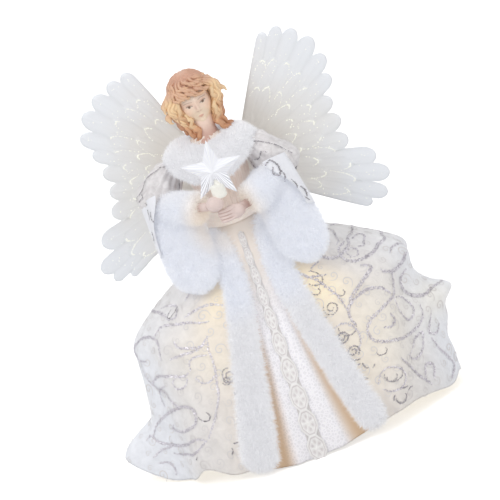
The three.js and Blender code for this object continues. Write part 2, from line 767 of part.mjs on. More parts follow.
// The bodice is a pleated tube of cloth round the torso, with a window for the wing boss.
function bodiceForm(grow = 0) {
  const pleats = 12;
  const [sides, steps] = [36, 2];
  const rings = [];
  for (let i = 0; i <= steps; i += 1) {
    const rise = lerp(BODICE_FROM - grow, BODICE_TO + grow, i / steps);
    const [wide, deep] = torsoRadii(rise / TORSO_HEIGHT);
    const ring = [];
    for (let j = 0; j < sides; j += 1) {
      const turn = (2 * Math.PI * j) / sides;
      const out = SEAT_GAP + BODICE_BULK - 0.3 * CLOTH * (1 - Math.cos(pleats * turn)) + grow;
      ring.push(V((wide + out) * Math.sin(turn), -(deep + out) * Math.cos(turn), torsoZ + rise));
    }
    rings.push(ring);
  }
  return solid(skin(rings));
}
const bodice = () => largest(cut(bodiceForm(), torsoForm(SEAT_GAP), wingBoss(SEAT_GAP)));

function sash() {
  const [wide, deep] = torsoRadii(SASH_FROM / TORSO_HEIGHT);
  const gap = 2 * SEAT_GAP + 2 * CLOTH;
  const section = [
    [0, 0],
    [CLOTH, 0.15],
    [1.4 * CLOTH, 0.5],
    [CLOTH, 0.85],
    [0, 1],
  ];
  const rings = section.map(([out, up]) =>
    oval(wide + gap + out, deep + gap + out, torsoZ + SASH_FROM + SASH_HEIGHT * up, 24),
  );
  return cut(solid(skin(rings)), solid(skin([-1, SASH_HEIGHT + 1].map((dz) =>
    oval(wide + gap, deep + gap, torsoZ + SASH_FROM + dz, 24)))));
}

// Head: face, cap of waved hair, hanging locks and neck, cast in one

// A closed body whose radius follows the direction from its middle.
function blob(across, up, radius) {
  const rings = [];
  for (let i = 1; i < up; i += 1) {
    const rise = -Math.PI / 2 + (Math.PI * i) / up;
    const ring = [];
    for (let j = 0; j < across; j += 1) {
      const turn = (2 * Math.PI * j) / across;
      const direction = V(Math.sin(turn) * Math.cos(rise), -Math.cos(turn) * Math.cos(rise), Math.sin(rise));
      ring.push(direction.clone().multiplyScalar(radius(direction)));
    }
    rings.push(ring);
  }
  return skin(rings);
}

const ellipsoidReach = (d, radii) => 1 / Math.hypot(d.x / radii.x, d.y / radii.y, d.z / radii.z);

// Swellings and hollows of the face: direction, height and breadth.
const FACE_FORMS = [
  [V(0, -1, -0.1), 2.6, 0.15],
  [V(0, -1, 0.1), 0.9, 0.16],
  [V(0, -0.83, -0.6), 1.6, 0.24],
  [V(0, -0.94, -0.36), 0.8, 0.13],
  [V(0.42, -0.86, -0.22), 0.8, 0.3],
  [V(-0.42, -0.86, -0.22), 0.8, 0.3],
  [V(0.32, -0.93, 0.1), -1.1, 0.17],
  [V(-0.32, -0.93, 0.1), -1.1, 0.17],
];

function face(grow) {
  return blob(20, 16, (d) => {
    const forms = FACE_FORMS.reduce((sum, [place, height, breadth]) => {
      const away = d.distanceTo(place.clone().normalize());
      return sum + height * bump(away, 0, breadth);
    }, 0);
    const jaw = 1 - 0.1 * smooth(-d.z, 0.2, 0.9);
    return ellipsoidReach(d, HEAD_RADII) * jaw + forms + grow;
  });
}

// Hair waves from the crown, and swells at the sides below the ears.
function hair(grow) {
  const cap = blob(27, 13, (d) => {
    const turn = Math.atan2(d.x, -d.y);
    const waves = 0.7 * Math.sin(11 * turn + 5 * d.z) * Math.cos(1.2 * d.z);
    const sides = HAIR_FLARE * bump(d.z, -0.25, 0.4) * Math.abs(d.x);
    return ellipsoidReach(d, HAIR_RADII) + waves + sides + grow;
  }).translate(0, 2, 1);
  const faceWindow = blob(14, 10, (d) => ellipsoidReach(d, V(12, 15, 16.5)) - grow);
  const below = block(V(-40, -40, -40), V(40, 40, -0.75 * HAIR_RADII.z - grow));
  return cut(solid(cap), solid(faceWindow.translate(0, -20.5, -7.5)), solid(below));
}

// Locks hang from ear level all round, apart from in front of the face.
function hairLocks(grow) {
  return Array.from({ length: LOCK_COUNT }, (_, i) => {
    const turn = radians(lerp(48, 312, i / (LOCK_COUNT - 1)));
    const place = (out, down, twist) => {
      const at = turn + twist;
      return V(out * Math.sin(at), 2 - out * Math.cos(at), -down);
    };
    const reach = HAIR_RADII.x - LOCK_RADIUS;
    const curve = new THREE.CatmullRomCurve3([
      place(reach, -4, 0),
      place(reach + 1.5, LOCK_LENGTH * 0.35, 0.06),
      place(reach - 1, LOCK_LENGTH * 0.7, -0.06),
      place(reach - 3.5, LOCK_LENGTH, 0.04),
    ]);
    const radius = (share) => grow + LOCK_RADIUS * (1 - 0.35 * share) * rounded(share, 0.3);
    return solid(limb(curve, 5, 6, radius));
  });
}

const headTilt = new THREE.Matrix4().compose(
  V(0, 0, torsoTopZ + HEAD_ABOVE_NECK),
  new THREE.Quaternion().setFromEuler(new THREE.Euler(radians(HEAD_BOW), 0, radians(HEAD_TURN), "ZXY")),
  V(1, 1, 1),
);

function head(grow = 0) {
  const tilted = join(solid(face(grow)), hair(grow), ...hairLocks(grow));
  const nape = torsoTopZ + SEAT_GAP - grow;
  const neck = turned(
    [
      [0, nape - NECK_PLUG_LENGTH],
      [NECK_PLUG_RADIUS + grow, nape - NECK_PLUG_LENGTH],
      [NECK_PLUG_RADIUS + grow, nape],
      [NECK_RADIUS + 1.5 + grow, nape],
      [NECK_RADIUS + grow, nape + 0.25 * HEAD_ABOVE_NECK],
      [NECK_RADIUS + grow, nape + 0.8 * HEAD_ABOVE_NECK],
      [0, nape + 0.8 * HEAD_ABOVE_NECK],
    ],
    20,
  );
  return largest(join(tilted.transform(headTilt.elements), solid(neck)));
}

// Arms

const forearmCurve = (arm) => {
  const hand = fromWaist(arm.hand);
  const end = fromWaist(arm.wireEnd);
  const outward = end.clone().sub(hand).normalize();
  const heel = hand.clone().addScaledVector(outward, HAND_LENGTH / 2);
  const back = end.clone().addScaledVector(fromWaist(arm.elbow).sub(end).normalize(), 2 * FOREARM_RADIUS);
  return { hand, outward, heel, curve: new THREE.CatmullRomCurve3([back, end, heel]) };
};

// A resin forearm with its hand: four fingers curl over the palm's front edge and the thumb lies along its top.
function forearmForm(arm, grow = 0) {
  const { hand, outward, heel, curve } = forearmCurve(arm);
  const arms = limb(curve, 4, 8, (s) => grow + lerp(FOREARM_RADIUS, WRIST_RADIUS, s));
  const tip = hand.clone().addScaledVector(outward, -HAND_LENGTH / 2);
  const palmLine = new THREE.LineCurve3(heel.clone().addScaledVector(outward, 1), tip);
  const swell = (s) => lerp(WRIST_RADIUS / HAND_HALF_WIDTH, 1, smooth(s, 0, 0.5)) * rounded(Math.max(s, 0.5), 0.4);
  const palm = limb(
    palmLine,
    6,
    8,
    (s) => grow + HAND_HALF_WIDTH * swell(s),
    (s) => grow + HAND_HALF_HEIGHT * swell(s),
  );
  const forward = V(0, 0, 1).cross(outward).normalize();
  if (forward.y > 0) forward.negate();
  const fingers = [0, 1, 2, 3].map((i) => {
    const base = lerp(-0.05, 0.42, i / 3) * HAND_LENGTH;
    const at = (along, out, up) =>
      hand
        .clone()
        .addScaledVector(outward, -along)
        .addScaledVector(forward, out)
        .add(V(0, 0, up));
    const bend = new THREE.CatmullRomCurve3([
      at(base - 1.5, HAND_HALF_WIDTH * 0.35, HAND_HALF_HEIGHT - FINGER_RADIUS - 0.2),
      at(base, HAND_HALF_WIDTH * 0.95, HAND_HALF_HEIGHT * 0.3),
      at(base + 0.6, HAND_HALF_WIDTH * 0.8, -HAND_HALF_HEIGHT * 0.55),
    ]);
    return solid(limb(bend, 3, 5, (s) => grow + FINGER_RADIUS * rounded(s, 0.25)));
  });
  return largest(join(solid(arms), solid(palm), ...fingers));
}
const forearm = (arm) => cut(forearmForm(arm), armWire(SEAT_GAP));

// The upper sleeve is a puffed tube over the arm's wire, from the shoulder to the elbow.
const sleeveSpan = (arm) => {
  const shares = { left: [0.655, 0.855], right: [0.345, 0.145] };
  return shares[arm.side];
};
function sleeveForm(arm, grow = 0) {
  const [from, to] = sleeveSpan(arm);
  const ends = [from, to].map((share) => armCurve.getPointAt(share));
  const along = ends[1].clone().sub(ends[0]).normalize();
  ends[0].addScaledVector(along, -grow);
  ends[1].addScaledVector(along, SLEEVE_OVERHANG + grow);
  const radius = (s) => {
    const puff = lerp(SLEEVE_SHOULDER_RADIUS, SLEEVE_PUFF_RADIUS, smooth(s, 0, 0.6));
    return grow + puff * rounded(s, 0.25);
  };
  return solid(limb(new THREE.LineCurve3(...ends), 8, 12, radius));
}
const sleeve = (arm) => largest(cut(sleeveForm(arm), armWire(SEAT_GAP), torsoForm(CUT_GAP), bodiceForm(CUT_GAP)));

// Skirt: the bell of cloth as a formula of the turn from the front, in degrees, and the share of the way down

const skirtTopZ = torsoZ + 3;

// The middle of the skirt's cloth before folds, at a turn and a share of the way down.
function skirtPoint(turnDegrees, share, out = 0) {
  const turn = radians(turnDegrees);
  const hip = Math.sin(turn) > 0 ? HIP_SHARE_LEFT : HIP_SHARE_RIGHT;
  const side = 0.92 * smooth(share, 0, hip) + 0.08 * share;
  const fore = Math.sin((Math.PI / 2) * share);
  const hem = Math.sin(turn) > 0 ? HEM_HALF_WIDTH_LEFT : HEM_HALF_WIDTH_RIGHT;
  const wide = lerp(SKIRT_TOP_HALF_WIDTH, hem, side);
  const deep = lerp(SKIRT_TOP_DEPTH, Math.cos(turn) > 0 ? HEM_FRONT : HEM_BACK, fore);
  const away = Math.abs(turnDegrees > 180 ? turnDegrees - 360 : turnDegrees);
  const clearOfFront = smooth(away, 24, 60);
  const fold = FOLD_DEPTH * smooth(share, 0.25, 1) * Math.cos(FOLD_COUNT * turn + 1.5 * share) * clearOfFront;
  const leftBillow = LEFT_BILLOW * bump(turnDegrees, 93, 15) * bump(share, 0.64, 0.12);
  const rightBillow = RIGHT_BILLOW * bump(turnDegrees, 263, 16) * smooth(share, 0.66, 0.95);
  const reach = out + fold + leftBillow + rightBillow;
  const lift = RIGHT_HEM_LIFT * bump(turnDegrees, 263, 20) + 1.5 * (1 + Math.cos(7 * turn)) * clearOfFront;
  const hemZ = HEM_CLEARANCE + lift;
  return V(
    wide * Math.sin(turn) + reach * Math.sin(turn),
    -deep * Math.cos(turn) - reach * Math.cos(turn),
    lerp(skirtTopZ, hemZ, share),
  );
}

// Half the turn of the front opening at a share of the way down.
function openingTurn(share) {
  const half = lerp(OPENING_TOP_HALF_WIDTH, OPENING_HEM_HALF_WIDTH, share);
  const wide = skirtPoint(90, share).x;
  return (180 / Math.PI) * Math.asin(Math.min(0.9, half / wide));
}

// A solid bell filling the skirt's outer surface, for shaping what lies on it.
function skirtBell(grow) {
  const [sides, steps] = [72, 14];
  const rings = [];
  for (let i = 0; i <= steps; i += 1) {
    const share = i / steps;
    rings.push(Array.from({ length: sides }, (_, j) => skirtPoint((360 * j) / sides, share, CLOTH / 2 + grow)));
  }
  return solid(skin(rings));
}
const turnedBell = (grow) => skirtBell(grow).rotate([0, 0, SKIRT_TURN]);

function overskirt() {
  const surface = (out) => (round, share) => {
    const edge = openingTurn(share);
    return skirtPoint(lerp(edge, 360 - edge, round), share, out);
  };
  return sheet(50, 10, surface(CLOTH / 2), surface(-CLOTH / 2));
}

// The front panel hangs behind the opening, tucked under both of its edges.
function panelPoint(round, share, out) {
  const edge = openingTurn(share);
  const tuck = (180 / Math.PI) * (PANEL_TUCK / skirtPoint(90, share).x);
  const turn = lerp(-edge - tuck, edge + tuck, round);
  const pleat = PANEL_PLEAT_DEPTH * smooth(share, 0.1, 0.9) * (Math.cos(6 * Math.PI * round) - 1) * 0.5;
  return skirtPoint(turn < 0 ? turn + 360 : turn, share, -PANEL_INSET * smooth(share, 0, 0.15) - 1.4 + pleat + out);
}
const frontPanel = () =>
  sheet(14, 10, (r, s) => panelPoint(r, s, CLOTH / 2), (r, s) => panelPoint(r, s, -CLOTH / 2));

// A ribbon of lace down the middle of the panel, shaped by the panel that it lies on.
function laceRibbon() {
  const surface = (out) => (round, along) => {
    const share = lerp(0.06, 0.995, along);
    const half = lerp(LACE_TOP_WIDTH, LACE_HEM_WIDTH, share) / 2;
    const panelHalf = lerp(OPENING_TOP_HALF_WIDTH, OPENING_HEM_HALF_WIDTH, share) + PANEL_TUCK;
    return panelPoint(0.5 + (round - 0.5) * (half / panelHalf), share, CLOTH / 2 + out);
  };
  const strip = sheet(4, 10, surface(SEAT_GAP + 1.5 * LACE_SHEET), surface(-CLOTH));
  const under = sheet(14, 10, (r, s) => panelPoint(r, s, CLOTH / 2 + SEAT_GAP), (r, s) => panelPoint(r, s, -4 * CLOTH));
  return largest(cut(solid(strip), solid(under)));
}

// Fur down each edge of the opening, shaped underneath by the skirt.
function frontTrim(sign, grow = 0) {
  const steps = 12;
  const rings = [];
  for (let i = 0; i <= steps; i += 1) {
    const share = lerp(TRIM_FROM, 0.985, i / steps);
    const half = lerp(TRIM_TOP_HALF_WIDTH, TRIM_HEM_HALF_WIDTH, share);
    const edge = openingTurn(share);
    const degreesPerMm = 180 / Math.PI / skirtPoint(90, share).x;
    const ring = [];
    for (let j = 0; j < 12; j += 1) {
      const round = (2 * Math.PI * j) / 12;
      const across = (half + grow) * Math.cos(round);
      const turn = sign * (edge + across * degreesPerMm);
      const out = (TRIM_PILE + grow) * Math.sin(round) * rounded(i / steps, 0.12);
      ring.push(skirtPoint((turn + 360) % 360, share, out));
    }
    rings.push(ring);
  }
  return largest(cut(solid(skin(rings)), skirtBell(CUT_GAP - grow)));
}

// Long hanging cuff of fur, shaped by the sleeve, the forearm and the skirt that it lies on
function cuff(arm) {
  const top = fromWaist(arm.cuffTop);
  const foot = fromWaist(arm.cuffFoot);
  const middle = top.clone().lerp(foot, 0.5).add(V(arm.sign * 2, 3, 0));
  const curve = new THREE.CatmullRomCurve3([top, middle, foot]);
  const rings = [];
  const steps = 10;
  for (let i = 0; i <= steps; i += 1) {
    const share = i / steps;
    const centre = curve.getPointAt(share);
    const size = rounded(share, 0.28) * lerp(0.95, 1.02, smooth(share, 0, 0.6));
    const ring = oval(CUFF_HALF_WIDTH * size, CUFF_HALF_DEPTH * size, 0, 14);
    rings.push(ring.map((p) => p.add(centre)));
  }
  const trim = frontTrim(arm.sign, CUT_GAP).rotate([0, 0, SKIRT_TURN]);
  const whole = cut(
    solid(skin(rings)),
    sleeveForm(arm, CUT_GAP),
    forearmForm(arm, CUT_GAP),
    armWire(CUT_GAP),
    turnedBell(CUT_GAP),
    trim,
  );
  return largest(whole);
}

// Collar of fur over the shoulders, shaped by the neck, the hair, the sleeves and the torso
function collar() {
  const [sides, steps] = [24, 5];
  const innerRadius = NECK_RADIUS + 2;
  const rings = [];
  for (let j = 0; j < sides; j += 1) {
    const turn = (2 * Math.PI * j) / sides;
    const front = Math.cos(turn);
    const ahead = front > 0 ? COLLAR_FRONT : COLLAR_BACK;
    const drop = lerp(COLLAR_DROP_SIDE, front > 0 ? COLLAR_DROP_FRONT : COLLAR_DROP_BACK, front * front);
    const inner = V(innerRadius * Math.sin(turn), -innerRadius * front, torsoTopZ + 1);
    const outer = V(COLLAR_HALF_WIDTH * Math.sin(turn), -ahead * front, torsoTopZ - drop);
    const flow = outer.clone().sub(inner);
    const level = Math.hypot(flow.x, flow.y);
    const normal = V((-flow.z * flow.x) / level, (-flow.z * flow.y) / level, level).normalize();
    const ring = [];
    const at = (share, rise) => inner.clone().lerp(outer, share).addScaledVector(normal, rise);
    const crown = (share) => Math.sin(Math.PI * Math.min(0.97, Math.max(0.03, share)));
    for (let i = 0; i <= steps; i += 1) ring.push(at(i / steps, 2 + COLLAR_PILE * crown(i / steps)));
    for (let i = steps - 1; i > 0; i -= 1) ring.push(at(i / steps, 2 - 0.6 * COLLAR_PILE * crown(i / steps)));
    rings.push(ring);
  }
  const whole = cut(
    solid(skin(rings, true)),
    head(CUT_GAP),
    torsoForm(CUT_GAP),
    bodiceForm(CUT_GAP),
    ...ARMS.map((arm) => sleeveForm(arm, CUT_GAP)),
  );
  return largest(whole);
}

// Star and candle

const starBaseZ = fromWaist(ARMS[1].hand).z + HAND_HALF_HEIGHT + SEAT_GAP;
const candleTopZ = starBaseZ + CANDLE_HEIGHT;
const halfPoint = Math.PI / STAR_POINTS;
// The lower edge of the star beside its bottom notch, once the star is tilted
const notchAngle =
  Math.atan2(STAR_TIP_RADIUS * Math.cos(halfPoint) - STAR_NOTCH_RADIUS, STAR_TIP_RADIUS * Math.sin(halfPoint)) +
  radians(STAR_TILT);
const notchShift = STAR_NOTCH_RADIUS * Math.sin(radians(STAR_TILT));
const starZ = candleTopZ + SEAT_GAP + STAR_NOTCH_RADIUS + Math.tan(notchAngle) * (CANDLE_RADIUS + notchShift);
const starPlace = V(STAR_SIDEWAYS, -STAR_FORWARD, starZ);

// Half of the star: a hollow five-sided pyramid of points, open towards the other half.
function starHalf(sign) {
  const pyramid = (inset, depth) => {
    const rim = Array.from({ length: 2 * STAR_POINTS }, (_, i) => {
      const turn = halfPoint * i;
      const reach = (i % 2 ? STAR_NOTCH_RADIUS : STAR_TIP_RADIUS) * inset;
      return V(reach * Math.sin(turn), 0, reach * Math.cos(turn));
    });
    const peak = rim.map((p) => p.clone().multiplyScalar(0.02).add(V(0, sign * depth, 0)));
    return [rim, peak];
  };
  const outer = solid(skin(pyramid(1, STAR_HALF_THICKNESS)));
  const hollow = 1 - STAR_WALL / (STAR_NOTCH_RADIUS * 0.6);
  const [rim, peak] = pyramid(hollow, STAR_HALF_THICKNESS * hollow);
  const mouth = rim.map((p) => p.clone().add(V(0, -sign * STAR_WALL, 0)));
  const inner = solid(skin([mouth, rim, peak]));
  const lampHole = solid(rod(LAMP_RADIUS + SEAT_GAP, STAR_TIP_RADIUS, 12).translate(0, 0, -STAR_TIP_RADIUS / 2 - 2));
  const half = cut(cut(outer, inner).rotate([0, STAR_TILT, 0]), lampHole);
  return half.translate([starPlace.x, starPlace.y + (sign * SEAT_GAP) / 2, starPlace.z]);
}

const candle = () =>
  turned(
    [
      [0, 0],
      [CANDLE_RADIUS * 0.8, 0],
      [CANDLE_RADIUS, 1.2],
      [CANDLE_RADIUS, CANDLE_HEIGHT - 1.2],
      [CANDLE_RADIUS * 0.7, CANDLE_HEIGHT],
      [0, CANDLE_HEIGHT],
    ],
    14,
  ).translate(starPlace.x, starPlace.y, starBaseZ);

const starLamp = () =>
  turned(
    [
      [0, 0],
      [LAMP_RADIUS, 0],
      [LAMP_RADIUS, STAR_LAMP_LENGTH - LAMP_RADIUS],
      [LAMP_RADIUS * 0.7, STAR_LAMP_LENGTH - 0.3 * LAMP_RADIUS],
      [0, STAR_LAMP_LENGTH],
    ],
    12,
  ).translate(starPlace.x, starPlace.y, candleTopZ + SEAT_GAP);

// The star's lead runs from the candle back over the wrist to the bodice.
function starLead() {
  const from = V(starPlace.x, starPlace.y + CANDLE_RADIUS + SEAT_GAP, starBaseZ + CANDLE_HEIGHT / 2);
  const rise = (from.z - torsoZ) / TORSO_HEIGHT;
  const [, deep] = torsoRadii(rise);
  const to = V(0, -deep - 2 * SEAT_GAP - BODICE_BULK, from.z - 2);
  const sag = from.clone().lerp(to, 0.5).add(V(0, 0, -3));
  return wire(new THREE.CatmullRomCurve3([from, sag, to]), LEAD_RADIUS, 8, 5);
}

// Wings

// Angle and length at a place in the row of feathers, which may lie between two of them.
function featherAt(place) {
  const low = Math.min(Math.floor(place), FEATHERS.length - 2);
  const [from, to] = [FEATHERS[low], FEATHERS[low + 1]];
  return [lerp(from[0], to[0], place - low), lerp(from[1], to[1], place - low)];
}

// One feather of the moulded wing, a blade with a round tip that fans out from the root.
function feather(place, share, width, thickness) {
  const [angle, length] = featherAt(place);
  const reach = length * share;
  const half = width / 2;
  const root = FEATHER_ROOT_WIDTH / 2;
  const blade = new THREE.Shape();
  blade.moveTo(FEATHER_START, -root);
  blade.lineTo(reach * 0.72, -half);
  blade.bezierCurveTo(reach * 0.9, -half, reach, -half * 0.8, reach, 0);
  blade.bezierCurveTo(reach, half * 0.8, reach * 0.9, half, reach * 0.72, half);
  blade.lineTo(FEATHER_START, root);
  const plate = new THREE.ExtrudeGeometry(blade, { depth: thickness, bevelEnabled: false, curveSegments: 3 });
  return solid(plate.rotateX(Math.PI / 2).rotateY(-radians(angle)));
}

// A wing in its own frame: the hinge is the Z axis, the blades fan out along +X and their fronts face -Y.
function wing(sign) {
  const long = FEATHERS.map((_, k) => feather(k, 1, FEATHER_WIDTH, WING_PLATE + FEATHER_LAP * (k % 2)));
  const coverts = Array.from({ length: COVERT_COUNT }, (_, i) => {
    const place = ((FEATHERS.length - 1) * (i + 0.5)) / COVERT_COUNT;
    return feather(place, COVERT_SHARE, COVERT_WIDTH, WING_PLATE + COVERT_STEP + FEATHER_LAP * (i % 2));
  });
  const webHalf = BARREL_LENGTH / 2 - 2;
  const web = solid(block(V(0, -WING_PLATE, -webHalf), V(FEATHER_START + 4, 0, webHalf)));
  const barrel = solid(rod(BARREL_RADIUS, BARREL_LENGTH, 16));
  const bore = solid(rod(WING_PIN_RADIUS + PIN_GAP, BARREL_LENGTH + 2, 12));
  const whole = cut(join(barrel, web, ...long, ...coverts), bore);
  return sign > 0 ? whole : whole.mirror([1, 0, 0]);
}

// A channel-shaped bracket: a pad against the torso's boss, and an ear above and below the wings' barrels.
function wingBracket() {
  const earZ = BARREL_LENGTH / 2 + SEAT_GAP;
  const halfWidth = HINGE_HALF_SPACING + EAR_RADIUS;
  const outline = new THREE.Shape();
  outline.moveTo(-halfWidth, padBackY - BRACKET_PAD);
  outline.lineTo(halfWidth, padBackY - BRACKET_PAD);
  outline.lineTo(halfWidth, 0);
  outline.absarc(HINGE_HALF_SPACING, 0, EAR_RADIUS, 0, Math.PI / 2);
  outline.lineTo(-HINGE_HALF_SPACING, EAR_RADIUS);
  outline.absarc(-HINGE_HALF_SPACING, 0, EAR_RADIUS, Math.PI / 2, Math.PI);
  const ear = (z) =>
    solid(
      new THREE.ExtrudeGeometry(outline, { depth: EAR_THICKNESS, bevelEnabled: false, curveSegments: 4 })
        .translate(0, 0, z),
    );
  const pad = block(
    V(-halfWidth, padBackY - BRACKET_PAD, -earZ - EAR_THICKNESS / 2),
    V(halfWidth, padBackY, earZ + EAR_THICKNESS / 2),
  );
  const pinHoles = [-1, 1].map((sign) =>
    solid(
      rod(WING_PIN_RADIUS + PIN_GAP, 2 * (earZ + EAR_THICKNESS) + 2, 12).translate(sign * HINGE_HALF_SPACING, 0, 0),
    ),
  );
  const whole = join(solid(pad), ear(earZ), ear(-earZ - EAR_THICKNESS));
  return cut(whole, ...pinHoles, ...screwOffsets.map((z) => solid(screwHole(z))));
}

function wingPin() {
  const half = BARREL_LENGTH / 2 + SEAT_GAP + EAR_THICKNESS;
  const headTop = half + SEAT_GAP + 1.2;
  return turned(
    [
      [0, -half],
      [WING_PIN_RADIUS, -half],
      [WING_PIN_RADIUS, half + SEAT_GAP],
      [WING_PIN_RADIUS * 1.8, half + SEAT_GAP],
      [WING_PIN_RADIUS * 1.8, headTop],
      [0, headTop],
    ],
    12,
  );
}

function bracketScrew() {
  const headBack = padBackY + SEAT_GAP;
  return turned(
    [
      [0, -SCREW_LENGTH],
      [SCREW_RADIUS, -SCREW_LENGTH + 1],
      [SCREW_RADIUS, 0],
      [SCREW_HEAD_RADIUS, 0],
      [SCREW_HEAD_RADIUS * 0.8, 1.4],
      [0, 1.7],
    ],
    12,
  )
    .rotateX(-Math.PI / 2)
    .translate(0, headBack, 0);
}

// The assembly

add("base_plate", basePlate(), PLASTIC_WHITE);
add("leader_tube", leaderTube(), PLASTIC_WHITE);
add("skirt_former", former(), PLASTIC_WHITE);
lampSpots.forEach(({ point, out }, i) => add(`skirt_lamp_${i + 1}`, aim(lamp(), point, out), GLOW));
add("lamp_lead", lampLead(), PLASTIC_WHITE);

add("battery_tray", batteryTray(), PLASTIC_WHITE);
for (let i = 0; i < CELL_COUNT; i += 1) add(`battery_cell_${i + 1}`, cell(i), CELL_JACKET);
const cellEnd = CELL_LENGTH / 2 + SEAT_GAP;
const nubEnd = cellEnd + NUB_LENGTH;
const lastCell = CELL_COUNT - 1;
const halfContact = CONTACT_WIDTH / 2;
add("contact_bridge", contact(1, cellY(0) - halfContact, cellY(lastCell) + halfContact, nubEnd), STEEL);
add("contact_negative", contact(-1, cellY(0) - halfContact, cellY(0) + halfContact, cellEnd), STEEL);
add(
  "contact_positive",
  contact(-1, cellY(lastCell) - halfContact, cellY(lastCell) + halfContact, nubEnd),
  STEEL,
);
add("battery_door", batteryDoor(), PLASTIC_WHITE);
add("door_pin", doorPin(), STEEL);
add("switch_body", switchBody(), SWITCH_BLACK);
add("switch_knob", switchKnob(), SWITCH_BLACK);

add("torso", torso(), PLASTIC_WHITE);
add("bodice", bodice(), BEIGE_CLOTH);
add("sash", sash(), SATIN);
add("head", head(), RESIN);
add("collar", collar(), FUR);

add("arm_wire", armWire(), STEEL);
for (const arm of ARMS) {
  add(`forearm_${arm.side}`, forearm(arm), RESIN_SKIN);
  add(`sleeve_${arm.side}`, sleeve(arm), SILVER_CLOTH);
  add(`cuff_${arm.side}`, cuff(arm), FUR);
}

add("candle", candle(), GLOW);
add("star_lamp", starLamp(), GLOW);
add("star_front", starHalf(-1), GLOW);
add("star_back", starHalf(1), GLOW);
add("star_lead", starLead(), PLASTIC_WHITE);

const dress = new THREE.Group();
dress.rotation.z = radians(SKIRT_TURN);
topper.add(dress);
add("overskirt", overskirt(), ORGANZA, dress);
add("front_panel", frontPanel(), SATIN, dress);
add("lace_ribbon", laceRibbon(), LACE, dress);
add("trim_left", frontTrim(1), FUR, dress);
add("trim_right", frontTrim(-1), FUR, dress);

const wings = new THREE.Group();
wings.position.copy(wingRoot);
wings.rotation.x = radians(-WING_LEAN);
topper.add(wings);
add("wing_bracket", wingBracket(), PLASTIC_WHITE, wings);
for (const { side, sign } of ARMS) {
  const hinge = new THREE.Group();
  hinge.position.x = sign * HINGE_HALF_SPACING;
  wings.add(hinge);
  add(`wing_pin_${side}`, wingPin(), STEEL, hinge);
  add(`wing_${side}`, wing(sign), PLASTIC_PEARL, hinge).rotation.z = sign * radians(WING_SWEEP[side]);
}
screwOffsets.forEach((z, i) => {
  add(`wing_screw_${["upper", "lower"][i]}`, bracketScrew(), STEEL, wings).position.z = z;
});

export default topper;
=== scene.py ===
"""Angel tree topper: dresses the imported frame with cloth, fur, feathers and painted resin."""

import math
from functools import partial

import bmesh
import bpy
import numpy as np
from mathutils import Euler, Matrix, Vector


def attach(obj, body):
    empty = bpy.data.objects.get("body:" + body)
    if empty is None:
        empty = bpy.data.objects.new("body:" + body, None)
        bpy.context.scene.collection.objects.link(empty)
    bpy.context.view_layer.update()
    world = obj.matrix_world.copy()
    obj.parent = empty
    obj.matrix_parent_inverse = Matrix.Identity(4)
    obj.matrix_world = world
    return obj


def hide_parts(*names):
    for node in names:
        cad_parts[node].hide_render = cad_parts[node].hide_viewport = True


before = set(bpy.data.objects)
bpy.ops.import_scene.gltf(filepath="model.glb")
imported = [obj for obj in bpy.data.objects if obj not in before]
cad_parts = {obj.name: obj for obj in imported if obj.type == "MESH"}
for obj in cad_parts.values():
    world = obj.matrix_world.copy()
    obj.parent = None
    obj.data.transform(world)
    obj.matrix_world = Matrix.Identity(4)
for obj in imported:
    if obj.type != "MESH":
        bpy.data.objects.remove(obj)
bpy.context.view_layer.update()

bl_info = {
    "name": "Angel Tree Topper",
    "version": (1, 0, 0),
    "blender": (4, 5, 0),
    "location": "3D View > Sidebar > Topper",
    "description": "Dresses the topper's frame with cloth, fur, feathers and painted resin",
    "category": "Object",
}

MM = 0.001

# The doll's frame, in millimetres and degrees
TORSO_Z = 178.3  # foot of the torso
TORSO_HEIGHT = 70.0
SKIRT_TOP_Z = 181.3
SKIRT_FALL = 180.0  # from the skirt's top to its hem
SKIRT_TURN = 9.0  # how far the dress has slewed to the doll's left
WAIST_WIDE, WAIST_DEEP = 20.5, 17.5  # the skirt's reach at its top
HEM_LEFT, HEM_RIGHT, HEM_FRONT, HEM_BACK = 125.0, 112.0, 97.0, 90.0  # and at its hem
# Where the hem swings up: degrees from the front, breadth and height
HEM_WAVES = [(265, 11, 20), (313, 8, 11), (331, 8, 5.5), (36, 20, 10), (73, 7, 8), (90, 10, 8)]
HEAD_CENTRE = (0.0, 0.0, 280.0)
HEAD_RADII = (13.8, 15.8, 18.0)
HAIR_RADII = (18.6, 18.6, 19.6)
NECK_Z = (237, 268)  # from the torso into the head
CHIN_DROP = 23.8  # from the middle of the face to the chin
FACE_DROP = 2.2  # from the middle of the head to that of the face
HEAD_BOW, HEAD_TURN, HEAD_LEAN = 7.0, 14.0, -6.0  # degrees down, to its left and to its side
# The star's middle, and how its visual and the candle's differ from the frame's
STAR_CENTRE = np.array((5.7, -54.0, 234.0))
STAR_GROWTH = np.array((1.1, 1.0, 1.1))
STAR_DROP = np.array((0, 0, 1.6))
CANDLE_SHIFT = np.array((-1.2, 0, 3.0))

# Where a lamp shows through the skirt: degrees from the front, share of the way down, breadth in mm and strength
LIT_PLACES = [
    (20, 0.28, 13, 0.1), (23, 0.38, 15, 0.13), (36, 0.55, 28, 0.05), (31, 0.75, 26, 0.04), (-25, 0.28, 15, 0.1),
    (-28, 0.48, 26, 0.05),
    (135, 0.4, 22, 0.3), (225, 0.4, 22, 0.3), (165, 0.62, 22, 0.3), (255, 0.62, 20, 0.25), (75, 0.62, 20, 0.06),
]

